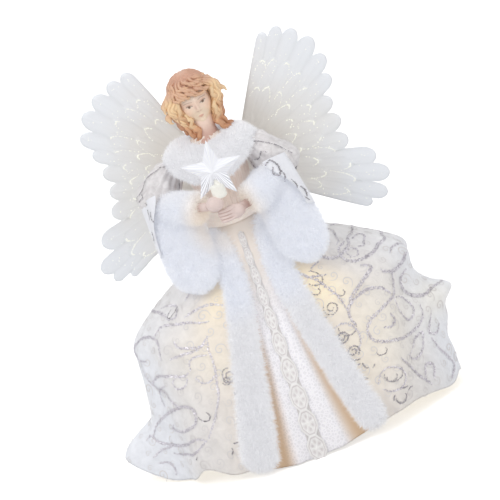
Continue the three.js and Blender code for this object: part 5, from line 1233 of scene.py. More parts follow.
class TOPPER_OT_bodice(bpy.types.Operator):
    """Makes the pleated bodice, the sash and the sleeves"""

    bl_idname = "topper.bodice"
    bl_label = "Bodice"

    def execute(self, context):
        rows, columns = 40, 360
        rise = np.linspace(11.5, 44.5, rows)[:, None]
        turn = circle(columns)[None, :]
        wide, deep = torso_radii(rise / TORSO_HEIGHT)
        pleat = 0.55 * np.abs(np.cos(17 * turn + 0.02 * rise)) ** 0.7 + 0.12 * np.cos(61 * turn)
        out = 1.0 + pleat
        points = stacked((wide + out) * np.sin(turn), -(deep + out) * np.cos(turn), TORSO_Z + rise)
        mesh = mesh_of("bodice", points, grid_faces(rows, columns, around=True, flip=True))
        mesh.materials.append(beige_chiffon("beige chiffon", "#e4ccbc", "#f6eae2", 0.05))
        bodice = placed(new_object("bodice_pleats", mesh), "figure", "beige_cloth", "bodice")

        rows, columns = 22, 240
        up = np.linspace(0, 1, rows)[:, None]
        turn = circle(columns)[None, :]
        wide, deep = torso_radii(4.5 / TORSO_HEIGHT)
        wave = 0.35 * np.sin(9 * math.pi * up + 1.5 * np.sin(3 * turn)) * np.sin(math.pi * up)
        out = lerp(8.2, 3.4, smooth(up, 0.0, 0.9)) + 1.0 * np.sin(math.pi * up) + wave
        dip = -1.6 * bump(np.degrees(np.abs((turn + math.pi) % (2 * math.pi) - math.pi)), 0, 45)
        level = TORSO_Z + 1.6 + 10.2 * up + dip
        points = stacked((wide + out) * np.sin(turn) - 2.0 * (1 - up), -(deep + out) * np.cos(turn), level)
        mesh = mesh_of("sash", points, grid_faces(rows, columns, around=True))
        mesh.materials.append(beige_chiffon("beige organza", "#f2e4d8", "#fdf4ec", 0.13))
        sash = walled(new_object("sash_band", mesh), 0.5 * MM, offset=-1.0)
        placed(sash, "figure", "beige_cloth", "sash")

        silver = silver_lame()
        for side in SLEEVES:
            rows, columns = 60, 150
            turn = np.linspace(0, 360, columns, endpoint=False)[None, :]
            points = sleeve_point(side, turn, np.linspace(0, 1, rows)[:, None])
            mesh = mesh_of("sleeve", points, grid_faces(rows, columns, around=True))
            mesh.materials.append(silver)
            sleeve = placed(new_object(f"sleeve_{side}_lame", mesh), "figure", "silver_cloth", f"sleeve_{side}")

        flake = flake_shape()
        tree = flake_tree(flake, foil_print())
        cloth = beige_chiffon("white organza", "#e6e7ee", "#f4f5fa", 0.02)
        for side in SLEEVES:
            rows, columns = 40, 60
            s = np.linspace(0.02, 0.55, rows)[:, None]
            turn = lerp(-50, lerp(74, 28, smooth(s, 0.0, 0.45)), np.linspace(0, 1, columns)[None, :])
            mesh = mesh_of("bell", bell_point(side, turn, s), grid_faces(rows, columns))
            mesh.materials.append(cloth)
            bell = placed(new_object(f"sleeve_{side}_bell", mesh), "figure", "silver_cloth")
            bands = []
            for lines, surface_at, rise in ((SLEEVE_LINES, sleeve_point, 0.6), (BELL_LINES, bell_point, 0.4)):
                for places, width in lines[side]:
                    line = smooth_path(places, 10) / np.array((1.0, 100.0))
                    bands.append(printed(partial(surface_at, side), line, width, rise))
            source = new_object("bands", mesh_of("bands", *joined(bands)))
            foil = grown(source, tree, f"sleeve_{side}_foil", **FOIL_FLAKES)
            placed(foil, "figure", "silver_cloth")
        bpy.data.objects.remove(flake)
        return {"FINISHED"}


# Head and hands


def head_frame(points):
    """From the head's own frame to the doll's, in millimetres."""
    turn = Euler((math.radians(HEAD_BOW), math.radians(HEAD_LEAN), math.radians(HEAD_TURN)), "YXZ").to_matrix()
    return np.asarray(points, float) @ np.array(turn).T + np.array(HEAD_CENTRE)


def ball(across, up, reach):
    """A closed body whose radius follows the direction from its middle, as points and faces."""
    rise = np.linspace(-0.5 * math.pi, 0.5 * math.pi, up)[1:-1, None]
    turn = circle(across)[None, :]
    away = stacked(np.sin(turn) * np.cos(rise), -np.cos(turn) * np.cos(rise), np.sin(rise))
    ends = np.array([(0.0, 0.0, -1.0), (0.0, 0.0, 1.0)])
    points = np.vstack([(away * reach(away)[..., None]).reshape(-1, 3), ends * reach(ends)[..., None]])
    rows = up - 2
    faces = grid_faces(rows, across, around=True)
    foot, top, last = rows * across, rows * across + 1, (rows - 1) * across
    faces += [(foot, (j + 1) % across, j) for j in range(across)]
    faces += [(top, last + j, last + (j + 1) % across) for j in range(across)]
    return points, faces


def oval_reach(away, radii):
    """Radius of an oval body by direction."""
    return 1 / np.linalg.norm(away / np.asarray(radii, float), axis=-1)


# Swellings and hollows of the face: place across and up, height, and breadth across and up, in millimetres
FACE_FORMS = [
    (0, 1.5, 0.9, 1.4, 3.5), (0, -2.5, 1.5, 1.2, 2.4), (0, -5.0, 2.0, 1.4, 1.5), (1.5, -5.6, 0.5, 0.8, 0.8),
    (-1.5, -5.6, 0.5, 0.8, 0.8), (6, -1.0, -1.3, 3.2, 2.2), (-6, -1.0, -1.3, 3.2, 2.2), (6, -1.2, 0.7, 1.9, 1.1),
    (-6, -1.2, 0.7, 1.9, 1.1), (0, -11.0, 0.6, 2.2, 0.6), (0, -12.2, 0.7, 1.8, 0.7), (0, -13.7, -0.5, 2.0, 0.7),
    (0, -16.5, 1.6, 3.4, 2.6), (7.5, -7.5, 1.0, 3.6, 3.8), (-7.5, -7.5, 1.0, 3.6, 3.8), (0, -9.0, -0.3, 0.8, 1.0),
]

# Hair beside the face on each side, by height: its outer and its inner edge in the head's own frame, in millimetres
HAIR_SIDES = {
    1: [(13, 15, 5), (8, 20, 9), (2, 23, 13), (-4, 23, 13), (-11, 20, 10), (-18, 17, 8), (-25, 15, 6), (-32, 17, 9)],
    -1: [(13, 15, 5), (8, 20, 7), (2, 23, 10), (-4, 22, 11), (-11, 20, 9), (-18, 16, 7), (-25, 13, 5), (-32, 12, 6)],
}
# Single locks over the mass of the hair
LOCKS = [
    ("flare", [(18, -5, 5), (22, -5, 0), (24, -5, -4), (27, -6, -7)]),
    ("flare", [(-19, -5, 7), (-22, -5, 3), (-24, -6, 0), (-23, -7, -3)]),
    ("flare", [(-20, -5, -4), (-23, -5, -7), (-24, -6, -10), (-21, -7, -12)]),
    ("ringlet", [(-12, -10, -8), (-9, -11, -14), (-10, -11, -19), (-7, -11, -24), (-9, -10, -31)]),
    ("ringlet", [(14, -10, -8), (12, -11, -14), (12, -11, -19), (10, -11, -24), (15, -10, -32)]),
    ("ringlet", [(-14, -10, 5), (-13, -11, -2), (-15, -11, -7), (-13, -11, -12), (-11, -10, -18)]),
    ("ringlet", [(16, -10, 5), (15, -11, -2), (17, -10, -7), (16, -10, -13), (13, -9, -19)]),
    ("end", [(-9, -11, -20), (-7, -12, -25), (-8, -12, -29), (-12, -10, -33)]),
    ("end", [(-14, -7, -18), (-13, -8, -24), (-11, -8, -29), (-13, -7, -33)]),
    ("end", [(11, -11, -22), (10, -11, -26), (13, -11, -31), (18, -9, -34)]),
    ("end", [(15, -7, -19), (14, -7, -25), (16, -7, -30), (20, -6, -33)]),
    ("ringlet", [(-17, -9, 4), (-18, -9, -3), (-17, -9, -10), (-14, -8, -17)]),
    ("ringlet", [(20, -8, 4), (19, -9, -3), (20, -8, -9), (17, -8, -16)]),
]
# Rows of the fringe: degrees up at its roots and its tips, and across at its first lock
FRINGE_ROWS = ((56, 34, -72), (43, 22, -66), (30, 11, -58))
# Bends of a lock of the fringe: shares of its sweep and of its fall, and how far out it lies
FRINGE_BENDS = ((0, -0.2, -1.8), (0.05, 0.4, 0.0), (0.45, 0.85, 0.3), (0.85, 1.05, 0.0), (1.15, 0.9, -0.8))
# Layers of hair at the back: how many locks, degrees round where they begin, and how far out and up each lock goes
BACK_LOCKS = (
    (8, 128, ((5, 13.5), (11, 11), (15.5, 3), (17, -7), (16, -16))),
    (10, 75, ((16, 4), (18, -4), (18, -12), (17, -20), (15, -28))),
)
# Girth of a lock, how far it narrows, how dark the painted shade along its edges is, and its colours from root to tip
LOCK_KINDS = {
    "fringe": (1.5, 0.5, 0.3, "#d9ab92", "#efc69c"), "flare": (2.8, 0.8, 0.25, "#f2caa6", "#ffe3b8"),
    "ringlet": (1.9, 0.3, 0.22, "#ffe2b6", "#cf956c"), "back": (3.1, 0.4, 0.32, "#dcaf95", "#d49d76"),
    "end": (2.2, 0.3, 0.3, "#e8b48a", "#c68b66"),
}


def cap_place(across, up, out):
    """A place over the cap of hair, by degrees across from the front and up from level."""
    a, u = math.radians(across), math.radians(up)
    away = np.array((math.sin(a) * math.cos(u), -math.cos(a) * math.cos(u), math.sin(u)))
    return away * (np.array(HAIR_RADII) + out) + np.array((0.0, 1.0, 1.0))


def hair_side(side):
    """The waved mass of hair beside the face: points, faces and colours, with painted shade in its furrows."""
    height, outer, inner = (v[:, None] for v in smooth_path(HAIR_SIDES[side], 10).T)
    rows, columns = len(height), 96
    t = np.linspace(0, 1, rows)[:, None]
    turn = circle(columns)[None, :]
    beat = 2 * math.pi * height / 12 + 1.2 * side
    strand = np.abs(np.sin(5 * turn + 1.6 * np.sin(beat)))
    swell = (0.88 + 0.16 * strand + 0.08 * np.sin(beat + 2 * turn)) * rounded(t, 8, 0.02)
    x = side * (0.5 * (outer + inner) + 0.5 * (outer - inner) * np.cos(turn) * swell)
    y = -4.5 + lerp(8.0, 5.5, t) * np.sin(turn) * swell
    points = stacked(x, y, height).reshape(-1, 3)
    low, high = smooth(height, -14, -28)[..., None], smooth(height, 4, 11)[..., None]
    colour = lerp(lerp(tone("#ffdcae"), tone("#d69c76"), low), tone("#dcb094"), high)
    # Painted shade in the furrows between the waves, and fine darker strands
    furrow = (0.35 * (1 - strand) ** 2 + 0.06 * np.sin(29 * turn + 5 * np.sin(beat)))[..., None]
    colour = lerp(colour, tone("#a9714d"), furrow)
    return head_frame(points), capped(rows, columns), colour.reshape(-1, 4)[:, :3]


def face_reach(away):
    """Radius of the face by direction: an oval with a narrow jaw, and the forms above."""
    tall = lerp(HEAD_RADII[2], CHIN_DROP, smooth(-away[..., 2], 0.0, 0.4))
    radii = stacked(*HEAD_RADII[:2], tall)
    jaw = smooth(-away[..., 2], 0.3, 0.7) * smooth(-away[..., 2], 1.0, 0.85)
    reach = oval_reach(away, radii) * (1 - 0.05 * jaw)
    x, z = away[..., 0] * reach, away[..., 2] * reach
    front = smooth(-away[..., 1], 0.1, 0.5)
    for across, up, height, wide, tall in FACE_FORMS:
        reach = reach + front * height * bump(x, across, wide) * bump(z, up, tall)
    return reach


def face_paint(points, skin):
    """Brushed colours of the face by place, from skin to eyes, brows, cheeks and lips, with painted light on the
    forehead and the lower face and painted shade at the nose.
    """
    x, y, z = points.T
    front = smooth(-y, 4, 9)
    colour = np.tile(np.array(skin[:3]), (len(points), 1))

    def brush(code, cover):
        colour[:] = lerp(colour, tone(code)[:3], np.clip(cover * front, 0, 1)[:, None])

    # The lower face warmer and lighter: partly the paint's own tone, partly painted light against its shade
    brush("#ffe9cf", 0.9 * smooth(z, -2, -8))
    # The forehead lighter: painted light against the shade of the fringe
    brush("#fff0e0", 0.6 * smooth(z, 1, 5))
    for side in (-1, 1):
        brush("#f3c3a6", 0.5 * bump(x, side * 8.0, 3.2) * bump(z, -6.5, 3.0))
        brush("#d9a892", 0.6 * bump(x, side * 5.6, 3.0) * bump(z, 0.4, 0.9))
        arch = 2.6 - 0.06 * (np.abs(x) - 5.2) ** 2
        brush("#b49585", 0.7 * (np.abs(np.abs(x) - 5.8) < 3.6) * (x * side > 0) * bump(z, arch, 0.45))
        eye = ((x - side * 5.7) / 2.3) ** 2 + ((z + 1.2) / 0.95) ** 2
        brush("#ecdccb", smooth(eye, 1.15, 0.75))
        iris = ((x - side * 5.7 + 0.1) / 1.1) ** 2 + ((z + 1.15) / 1.05) ** 2
        brush("#6b5240", smooth(iris, 1.2, 0.7) * smooth(eye, 1.3, 0.9))
        lid = -0.35 - 0.1 * (x - side * 5.7) ** 2
        brush("#6e5443", 0.8 * (np.abs(x - side * 5.7) < 2.6) * bump(z, lid, 0.4))
        # The nostrils darker: painted shade
        brush("#b98a80", 0.75 * bump(x, side * 1.0, 0.7) * bump(z, -6.4, 0.6))
    # One side of the nose darker: painted shade
    brush("#c9a294", 0.45 * bump(x, -1.5, 1.0) * bump(z, -3.0, 2.6))
    bow = -11.5 + 0.12 * np.abs(x)
    brush("#eab09a", 0.8 * smooth((x / 2.0) ** 2 + ((z - bow + 0.1) / 1.0) ** 2, 1.25, 0.55))
    brush("#c98a7e", 0.5 * (np.abs(x) < 2.0) * bump(z, bow - 0.05, 0.28))
    return colour


def lock_shape(kind, path):
    """One lock as points, faces and vertex colours, with painted shade in the creases along both its edges."""
    girth, taper, edge, root, tip = LOCK_KINDS[kind]
    sides, ridges = (12, 0) if kind == "fringe" else (22, 9)
    line = smooth_path(path, 10)
    t = np.linspace(0, 1, len(line))
    length = np.linalg.norm(np.diff(line, axis=0), axis=1).sum()
    beat = 2 * math.pi * t * length / 8.0 + line[0].sum()
    ends = rounded(t, 8, 0.02)
    line = line + (0.75 * np.sin(beat) * ends)[:, None] * np.array((0.8, -0.3, 0.5))
    radius = girth * (1 - taper * t**1.5) * ends * (1 + 0.14 * np.cos(beat))
    points, faces = tube(line, radius, sides, flat=0.85, ridges=ridges, ridge_depth=0.05, up=(0.0, -1.0, 0.0))
    turn = circle(sides)
    # Painted shade in the creases along both edges and between the ridges
    crease = edge * np.abs(np.cos(turn)) ** 5 + 0.06 * (1 - np.cos(ridges * turn))
    share = np.repeat(t, sides)[:, None] ** 1.3
    colours = lerp(tone(root)[:3], tone(tip)[:3], share)
    colours = colours * (1 - np.tile(crease, len(line))[:, None] * np.array((0.75, 1.0, 1.1)))
    return head_frame(points), faces, np.vstack([colours, colours[:1], colours[-1:]])


class TOPPER_OT_head(bpy.types.Operator):
    """Makes the painted head with its waved hair"""

    bl_idname = "topper.head"
    bl_label = "Head"

    def execute(self, context):
        colours = context.scene.topper_head
        crown, curls = np.array(colours.crown)[:3], np.array(colours.curls)[:3]
        face = ball(180, 130, face_reach)
        height = np.linspace(0, 1, 30)
        neck_path = np.stack([1.8 * height, 0.5 + 0 * height, lerp(*NECK_Z, height)], -1)
        neck = tube(neck_path, 9.1 + 4.2 * (1 - smooth(height, 0.0, 0.5)), 48, up=(0.0, 1.0, 0.0))
        shadow = smooth(neck[0][:, 2], 259, 246)[:, None]
        neck_paint = lerp(tone("#fbe0cf"), tone("#d0a798"), shadow)[:, :3]

        def cap_reach(away):
            turn = np.arctan2(away[..., 0], -away[..., 1])
            waves = 0.3 * np.sin(46 * turn + 9 * away[..., 2]) + 0.35 * np.sin(13 * turn - 9 * away[..., 2])
            waves = waves * smooth(np.hypot(away[..., 0], away[..., 1]), 0.1, 0.5)
            opening = smooth(-away[..., 1], 0.05, 0.45) * smooth(away[..., 2], 0.5, 0.2)
            return oval_reach(away, HAIR_RADII) * (1 - 0.3 * opening) * 0.96 + waves * (1 - opening)

        cap = ball(200, 64, cap_reach)
        low = smooth(cap[0][:, 2], 4, -9)[:, None]
        turn = np.arctan2(cap[0][:, 0], -cap[0][:, 1])
        streak = (1 - 0.09 * np.sin(46 * turn + 0.5 * cap[0][:, 2]))[:, None]
        parts = [
            (head_frame(face[0] - np.array((0, 0, FACE_DROP))), face[1], face_paint(face[0], colours.skin), 0),
            (*neck, neck_paint, 0),
            (head_frame(cap[0] + np.array((0.0, 1.5, 1.0))), cap[1], lerp(crown, curls, low) * streak, 1),
        ]
        parts += [(*hair_side(side), 1) for side in (1, -1)]
        parts += [(*lock_shape(kind, path), 1) for kind, path in LOCKS]
        chance = np.random.default_rng(7)
        for top, foot, first in FRINGE_ROWS:
            for k in range(9):
                strays = chance.uniform(-1, 1, 4) * (3, 4, 3, 5)
                a, up, down, sweep = np.array((first + 15 * k, top, foot, 20 + 2 * k)) + strays
                turns = [(a + turn * sweep, lerp(up, down, fall), out) for turn, fall, out in FRINGE_BENDS]
                parts.append((*lock_shape("fringe", [cap_place(*at) for at in turns]), 1))
        for count, first, fall in BACK_LOCKS:
            for turn in np.radians(np.linspace(first, 360 - first, count)):
                path = [(r * math.sin(turn), 2 - 0.93 * r * math.cos(turn), z) for r, z in fall]
                parts.append((*lock_shape("back", path), 1))
        points, faces = joined([part[:2] for part in parts])
        mesh = mesh_of("head", points, faces)
        shades = np.vstack([part[2] for part in parts])
        paint(mesh, np.concatenate([shades, np.ones((len(shades), 1))], axis=1))
        mesh.materials.append(painted_resin("painted resin skin", 0.5))
        mesh.materials.append(painted_resin("painted resin hair", 0.45))
        mesh.polygons.foreach_set("material_index", np.repeat([p[3] for p in parts], [len(p[1]) for p in parts]))
        placed(new_object("head_painted", facing_out(mesh)), "figure", "resin_head", "head")
        return {"FINISHED"}


# Each forearm's line, the middle of its palm and the palm's radii, and the heights of the upper hand's fingers
ARMS = {
    "left": ([(40, -22, 201), (33, -29, 198.5), (13, -43, 194.5)], (9.0, -46.5, 194.3), (9.0, 5.2, 5.8)),
    "right": ([(-40, -22, 205), (-33, -29, 204), (-8, -48, 204)], (-1.8, -54.5, 206.3), (6.9, 6.2, 6.0)),
}
FINGER_HEIGHTS = (198.6, 196.0, 193.4, 190.8)


class TOPPER_OT_hands(bpy.types.Operator):
    """Makes both painted hands, one closed over the other"""

    bl_idname = "topper.hands"
    bl_label = "Hands"

    def execute(self, context):
        skin = painted_resin("painted resin hands", 0.5)
        for side, (line, middle, radii) in ARMS.items():
            palm = ball(40, 24, partial(oval_reach, radii=radii))
            forms = [tube(smooth_path(line, 8), np.linspace(4.8, 3.3, 17), 20), (palm[0] + np.array(middle), palm[1])]
            rows = FINGER_HEIGHTS if side == "left" else ()
            for k, z in enumerate(rows):
                tip = (-2.2 + 0.5 * abs(k - 1), -50, z - 0.3)
                finger = [(10, -49.8, z + 0.4), (5, -52.2, z), (0.5, -52.4, z - 0.2), tip]
                forms.append(tube(smooth_path(finger, 6), 1.45, 14))
            mesh = facing_out(mesh_of("hand", *joined(forms)))
            hand = remeshed(new_object("hand", mesh), f"hand_{side}", 0.42 * MM, 3)
            places = np.zeros(3 * len(hand.data.vertices))
            hand.data.vertices.foreach_get("co", places)
            x, y, z = (places.reshape(-1, 3) / MM).T
            # Painted shade between the fingers, and a painted shadow of the cuff over the forearm
            crease = sum((0.7 * bump(z, (a + b) / 2, 0.4) for a, b in zip(rows, rows[1:])), 0 * z)
            sleeve = smooth(np.abs(x), 12, 22) if side == "right" else smooth(x, 14, 22)
            crease = np.maximum(crease * smooth(x, 10, 6) * smooth(y, -49, -51), 0.8 * sleeve)[:, None]
            paint(hand.data, lerp(np.array(context.scene.topper_head.hands), tone("#a87c70"), crease))
            hand.data.materials.append(skin)
            placed(hand, "figure", "resin_skin", f"forearm_{side}")
        return {"FINISHED"}


# Wings


def feather_half(along, reach, width):
    """Half the width of a feather at a distance from the root, in millimetres."""
    body = lerp(3.5, width / 2, np.clip((along - FEATHER_START) / (0.7 * reach - FEATHER_START), 0, 1))
    tip = np.clip((along - reach + 0.72 * width) / (0.72 * width), 0, 1)
    half = body * np.sqrt(1 - tip**2)
    return np.where((along < FEATHER_START - 12) | (along > reach), 0.0, half)


def wing_tiers(side):
    """Every feather as angle, reach, width and tier: three shorter rows lie over the longest."""
    feathers = np.array(FEATHERS[side], float)
    place = np.arange(len(feathers))
    pitch = feathers[:, 1] * np.abs(np.radians(np.gradient(feathers[:, 0])))
    rows = [(angle, length + 1, wide, 0) for (angle, length), wide in zip(feathers, 0.98 * pitch)]
    for count, share, width, tier in ((12, 0.8, 14.0, 1), (10, 0.6, 13.0, 2), (7, 0.38, 11.0, 3)):
        for at in (len(feathers) - 1) * (np.arange(count) + 0.5) / count:
            angle, length = (np.interp(at, place, column) for column in feathers.T)
            rows.append((angle, length * share, width, tier))
    return rows


def wing_frame(points, side):
    """From a wing's own frame to the doll's, in millimetres."""
    p = np.asarray(points, float) * np.array((side, 1.0, 1.0))
    p = turned(p, side * WING_SWEEP[side]) + np.array((side * HINGE_X, 0.0, 0.0))
    c, s = cos_sin(WING_LEAN)
    x, y, z = np.moveaxis(p, -1, 0)
    return np.stack([x, y * c + z * s, -y * s + z * c], -1) + np.array(WING_ROOT)


def wing_height(x, z, tiers, barb):
    """Height of the moulded front at places across and up, and how near a feather's edge they lie."""
    height, edge = np.full(np.shape(x), 0.7), np.ones(np.shape(x))
    for angle, reach, width, tier in tiers:
        c, s = cos_sin(angle)
        along, across = x * c + z * s, -x * s + z * c
        half = feather_half(along, reach, width)
        inside = np.abs(across) < half
        share = np.abs(across) / np.maximum(half, 0.1)
        crown = 0.5 * np.power(np.clip(1 - share**2, 0, 1), 0.6)
        rachis = 0.15 * bump(across, 0, 0.8)
        barbs = 0.03 * np.sin(2 * math.pi * (along - 0.9 * np.abs(across)) / barb) * smooth(share, 0.05, 0.3)
        lap = 0.15 * across / np.maximum(half, 0.1)
        mine = 0.85 + 0.3 * tier + crown + rachis + barbs + lap
        edge = np.where(inside & (mine > height), share, edge)
        height = np.where(inside & (mine > height), mine, height)
    return height, edge


def dot_tree(grain, material):
    """Sets a grain of glitter on every point of a line, each of its own size."""
    tree, given = tree_with("Light line", ("Size", "Float"), ("Seed", "Int"))
    size = varied(tree, given["Size"], 0.45, 1.25, given["Seed"])
    grains = sown(tree, grain, Points=given["Geometry"], Scale=size)
    return ended(tree, grains, material)


def wing_plate(tiers, barb):
    """The moulded plate of a wing in its own frame, with the outline of its feathers."""
    turn = np.radians(np.linspace(*WING_FAN, 340))
    reach = np.linspace(*WING_REACH, 900)
    x, z = reach[None] * np.cos(turn)[:, None], reach[None] * np.sin(turn)[:, None]
    inside = reach[None] < 24 + 0 * x
    for angle, length, width, _ in tiers:
        c, s = cos_sin(angle)
        inside |= np.abs(-x * s + z * c) < feather_half(x * c + z * s, length, width)
    rim = np.array([reach[row].max() for row in inside])
    radius = lerp(6.0, rim[:, None], np.linspace(0, 1, 96)[None])
    x, z = radius * np.cos(turn)[:, None], radius * np.sin(turn)[:, None]
    edge = smooth(rim[:, None] - radius, 0, 2.2)
    end = smooth(np.arange(len(turn)), 0, 4) * smooth(len(turn) - 1 - np.arange(len(turn)), 0, 4)
    height, seam = wing_height(x, z, tiers, barb)
    height = 0.8 + (height - 0.8) * (0.15 + 0.85 * edge) * (0.3 + 0.7 * end[:, None])
    # Painted shade along the feathers' edges, fading out towards the root
    shade = 1 - 0.06 * smooth(seam, 0.5, 1.0) * smooth(radius, 20, 50)
    front, back = np.stack([x, -height, z], -1), np.stack([x, 0.45 - 0.7 * height, z], -1)
    rows, columns = x.shape
    count = rows * columns
    faces = grid_faces(rows, columns) + grid_faces(rows, columns, flip=True, first=count)
    border = (
        [(i, 0) for i in range(rows)] + [(rows - 1, j) for j in range(1, columns)]
        + [(i, columns - 1) for i in range(rows - 2, -1, -1)] + [(0, j) for j in range(columns - 2, 0, -1)]
    )
    ring = [i * columns + j for i, j in border]
    faces += [(a, b, b + count, a + count) for a, b in zip(ring, ring[1:] + ring[:1])]
    return np.vstack([front.reshape(-1, 3), back.reshape(-1, 3)]), faces, np.tile(shade.ravel(), 2)


def wing_hinge():
    """The web and the barrel at a wing's root."""
    web = np.array([(x, y, z) for x in (0, 22) for y in (-1.7, -0.2) for z in (-11, 11)], float)
    sides = [(0, 1, 3, 2), (4, 6, 7, 5), (0, 4, 5, 1), (2, 3, 7, 6), (0, 2, 6, 4), (1, 5, 7, 3)]
    profile = [(1.2, -13), (2.7, -13), (3.0, -12.6), (3.0, 12.6), (2.7, 13), (1.2, 13)]
    around = circle(40)
    barrel = np.array([[(r * math.cos(a), r * math.sin(a), h) for a in around] for r, h in profile])
    turns = [
        (i * 40 + j, i * 40 + (j + 1) % 40, (i + 1) % 6 * 40 + (j + 1) % 40, (i + 1) % 6 * 40 + j)
        for i in range(6) for j in range(40)
    ]
    return [(web, sides), (barrel.reshape(-1, 3), turns)]


def light_lines(tiers, barb):
    """Places of the glitter grains: round the ends of the middle feathers, with gaps, and strewn over the tips."""
    chance = np.random.default_rng(4)
    lines = []
    for angle, length, width, tier in tiers:
        if tier in (1, 2):
            u = np.linspace(-1, 1, 58)
            begin = chance.uniform(-1.0, 0.0)
            u = u[(chance.random(len(u)) < 0.62) & (u > begin) & (u < begin + chance.uniform(0.7, 1.6))]
            along = length * (0.975 - 0.3 * np.abs(u) ** 2.2) + chance.normal(0, 0.25, len(u))
            across = np.sign(u) * feather_half(along, length, width) * 0.86 * np.abs(u) ** 0.7
        elif tier == 0:
            along = length * chance.uniform(0.6, 0.95, 7)
            across = chance.normal(0, 2.5, 7)
        else:
            continue
        c, s = cos_sin(angle)
        x, z = along * c - across * s, along * s + across * c
        lines.append(np.stack([x, -wing_height(x, z, tiers, barb)[0] - 0.1, z], -1))
    return np.vstack(lines)


class TOPPER_OT_wings(bpy.types.Operator):
    """Makes both feather wings and their lines of glitter"""

    bl_idname = "topper.wings"
    bl_label = "Wings"

    def execute(self, context):
        wings = context.scene.topper_wings
        barb = 1e3 * wings.barb
        grain_mesh = bpy.data.meshes.new("grain")
        shape = bmesh.new()
        bmesh.ops.create_icosphere(shape, subdivisions=1, radius=0.5)
        shape.to_mesh(grain_mesh)
        shape.free()
        grain = new_object("grain", grain_mesh)
        # The glitter grains give off light of their own: a painted sparkle
        tree = dot_tree(grain, lit_material("lit glitter", "#fafae8", "#fffff4", 0.3))
        pearl = pearl_plastic()
        for name, side in (("left", 1), ("right", -1)):
            tiers = wing_tiers(side)
            *plate, shade = wing_plate(tiers, barb)
            points, faces = joined([plate, *wing_hinge()])
            mesh = mesh_of("wing", wing_frame(points, side), faces)
            paint(mesh, np.repeat(np.concatenate([shade, np.ones(len(points) - len(shade))])[:, None], 4, 1))
            mesh.materials.append(pearl)
            piece = new_object(f"wing_{name}_feathers", facing_out(mesh))
            placed(piece, f"{name}_wing", "plastic_pearl", f"wing_{name}")
            source = new_object("line", mesh_of("line", wing_frame(light_lines(tiers, barb), side), []))
            lights = grown(source, tree, f"wing_{name}_glitter", Size=wings.bead, Seed=5)
            placed(lights, f"{name}_wing", "glow")
        bpy.data.objects.remove(grain)
        return {"FINISHED"}


# CAD nodes that stay


class TOPPER_OT_hardware(bpy.types.Operator):
    """Finishes the base, the lamps, the battery case, the wires and the fasteners"""

    bl_idname = "topper.hardware"
    bl_label = "Hardware"

    def execute(self, context):
        white = moulded("moulded styrene white", "#e9e8ea", "#f6f5f7", 0.42)
        beige = moulded("moulded styrene beige", "#e9d9cb", "#f5eae1", 0.6, grain=260.0)
        steel = moulded("zinc plated steel", "#a9aaad", "#d5d6d9", 0.32, metal=1.0, grain=900.0)
        spring = moulded("nickel spring steel", "#b9b6ae", "#dedbd3", 0.25, metal=1.0, grain=900.0)
        jacket = moulded("printed cell jacket", "#2f3a46", "#44515f", 0.35)
        black = moulded("moulded acetal black", "#18181a", "#29292c", 0.45)
        lead = moulded("clear vinyl lead", "#d9dcd6", "#f0f1ee", 0.35)
        lamp = lit_material("warm lamp epoxy", "#fff0c8", "#fff9e6", 0.3)
        star = star_acrylic()
        candle = lit_material("lit candle wax", "#e8e6de", "#f2f1ea", 0.12, 0.6)
        finishes = {
            "base_plate": white, "leader_tube": white, "skirt_former": white, "battery_tray": white,
            "battery_door": white, "wing_bracket": white, "torso": beige, "switch_body": black,
            "switch_knob": black, "lamp_lead": lead, "star_lead": lead, "star_front": star, "star_back": star,
            "candle": candle, "star_lamp": candle,
        }
        for name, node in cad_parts.items():
            if name in finishes:
                finish = finishes[name]
            elif name.startswith("skirt_lamp"):
                finish = lamp
            elif name.startswith("battery_cell"):
                finish = jacket
            elif name.startswith("contact"):
                finish = spring
            elif name.startswith(("door_pin", "arm_wire", "wing_pin", "wing_screw")):
                finish = steel
            else:
                continue
            node.data.materials.clear()
            node.data.materials.append(finish)

        # The photo's star is a tenth larger and lower than the frame's, and its candle higher
        for name in ("star_front", "star_back", "candle"):
            piece = new_object(name + "_shell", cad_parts[name].data.copy())
            if name == "candle":
                moved(piece, lambda p: p + CANDLE_SHIFT)
            else:
                moved(piece, lambda p: (p - STAR_CENTRE) * STAR_GROWTH + STAR_CENTRE - STAR_DROP)
            placed(piece, "figure", "glow", name)
        return {"FINISHED"}


# Stage


def direct_rays(tree):
    """One for rays that come from the camera, also by a gloss or through a clear body, and nought for the rest."""
    seen = add(tree, "ShaderNodeLightPath").outputs
    near = add(tree, "ShaderNodeMath", {0: seen["Is Camera Ray"], 1: seen["Is Glossy Ray"]}, operation="MAXIMUM")
    every = {0: near.outputs[0], 1: seen["Is Transmission Ray"]}
    return add(tree, "ShaderNodeMath", every, operation="MAXIMUM").outputs[0]


# Each lamp's place, power and width
LAMPS = {
    "key": ((-0.9, -1.3, 1.5), 10.5, 1.0), "fill": ((1.3, -1.0, 0.9), 4.5, 1.2), "top": ((0.0, 0.4, 1.8), 5.0, 1.4),
}
FLOOR_REACH, FLOOR_Z = 6000, -0.3
BACKGROUND = 0.62  # light of the sky on the object, and that of the floor where it is seen
AIM = (1.925, 143.6, 38.6)  # middle of the view, in millimetres right, up and back as the camera sees


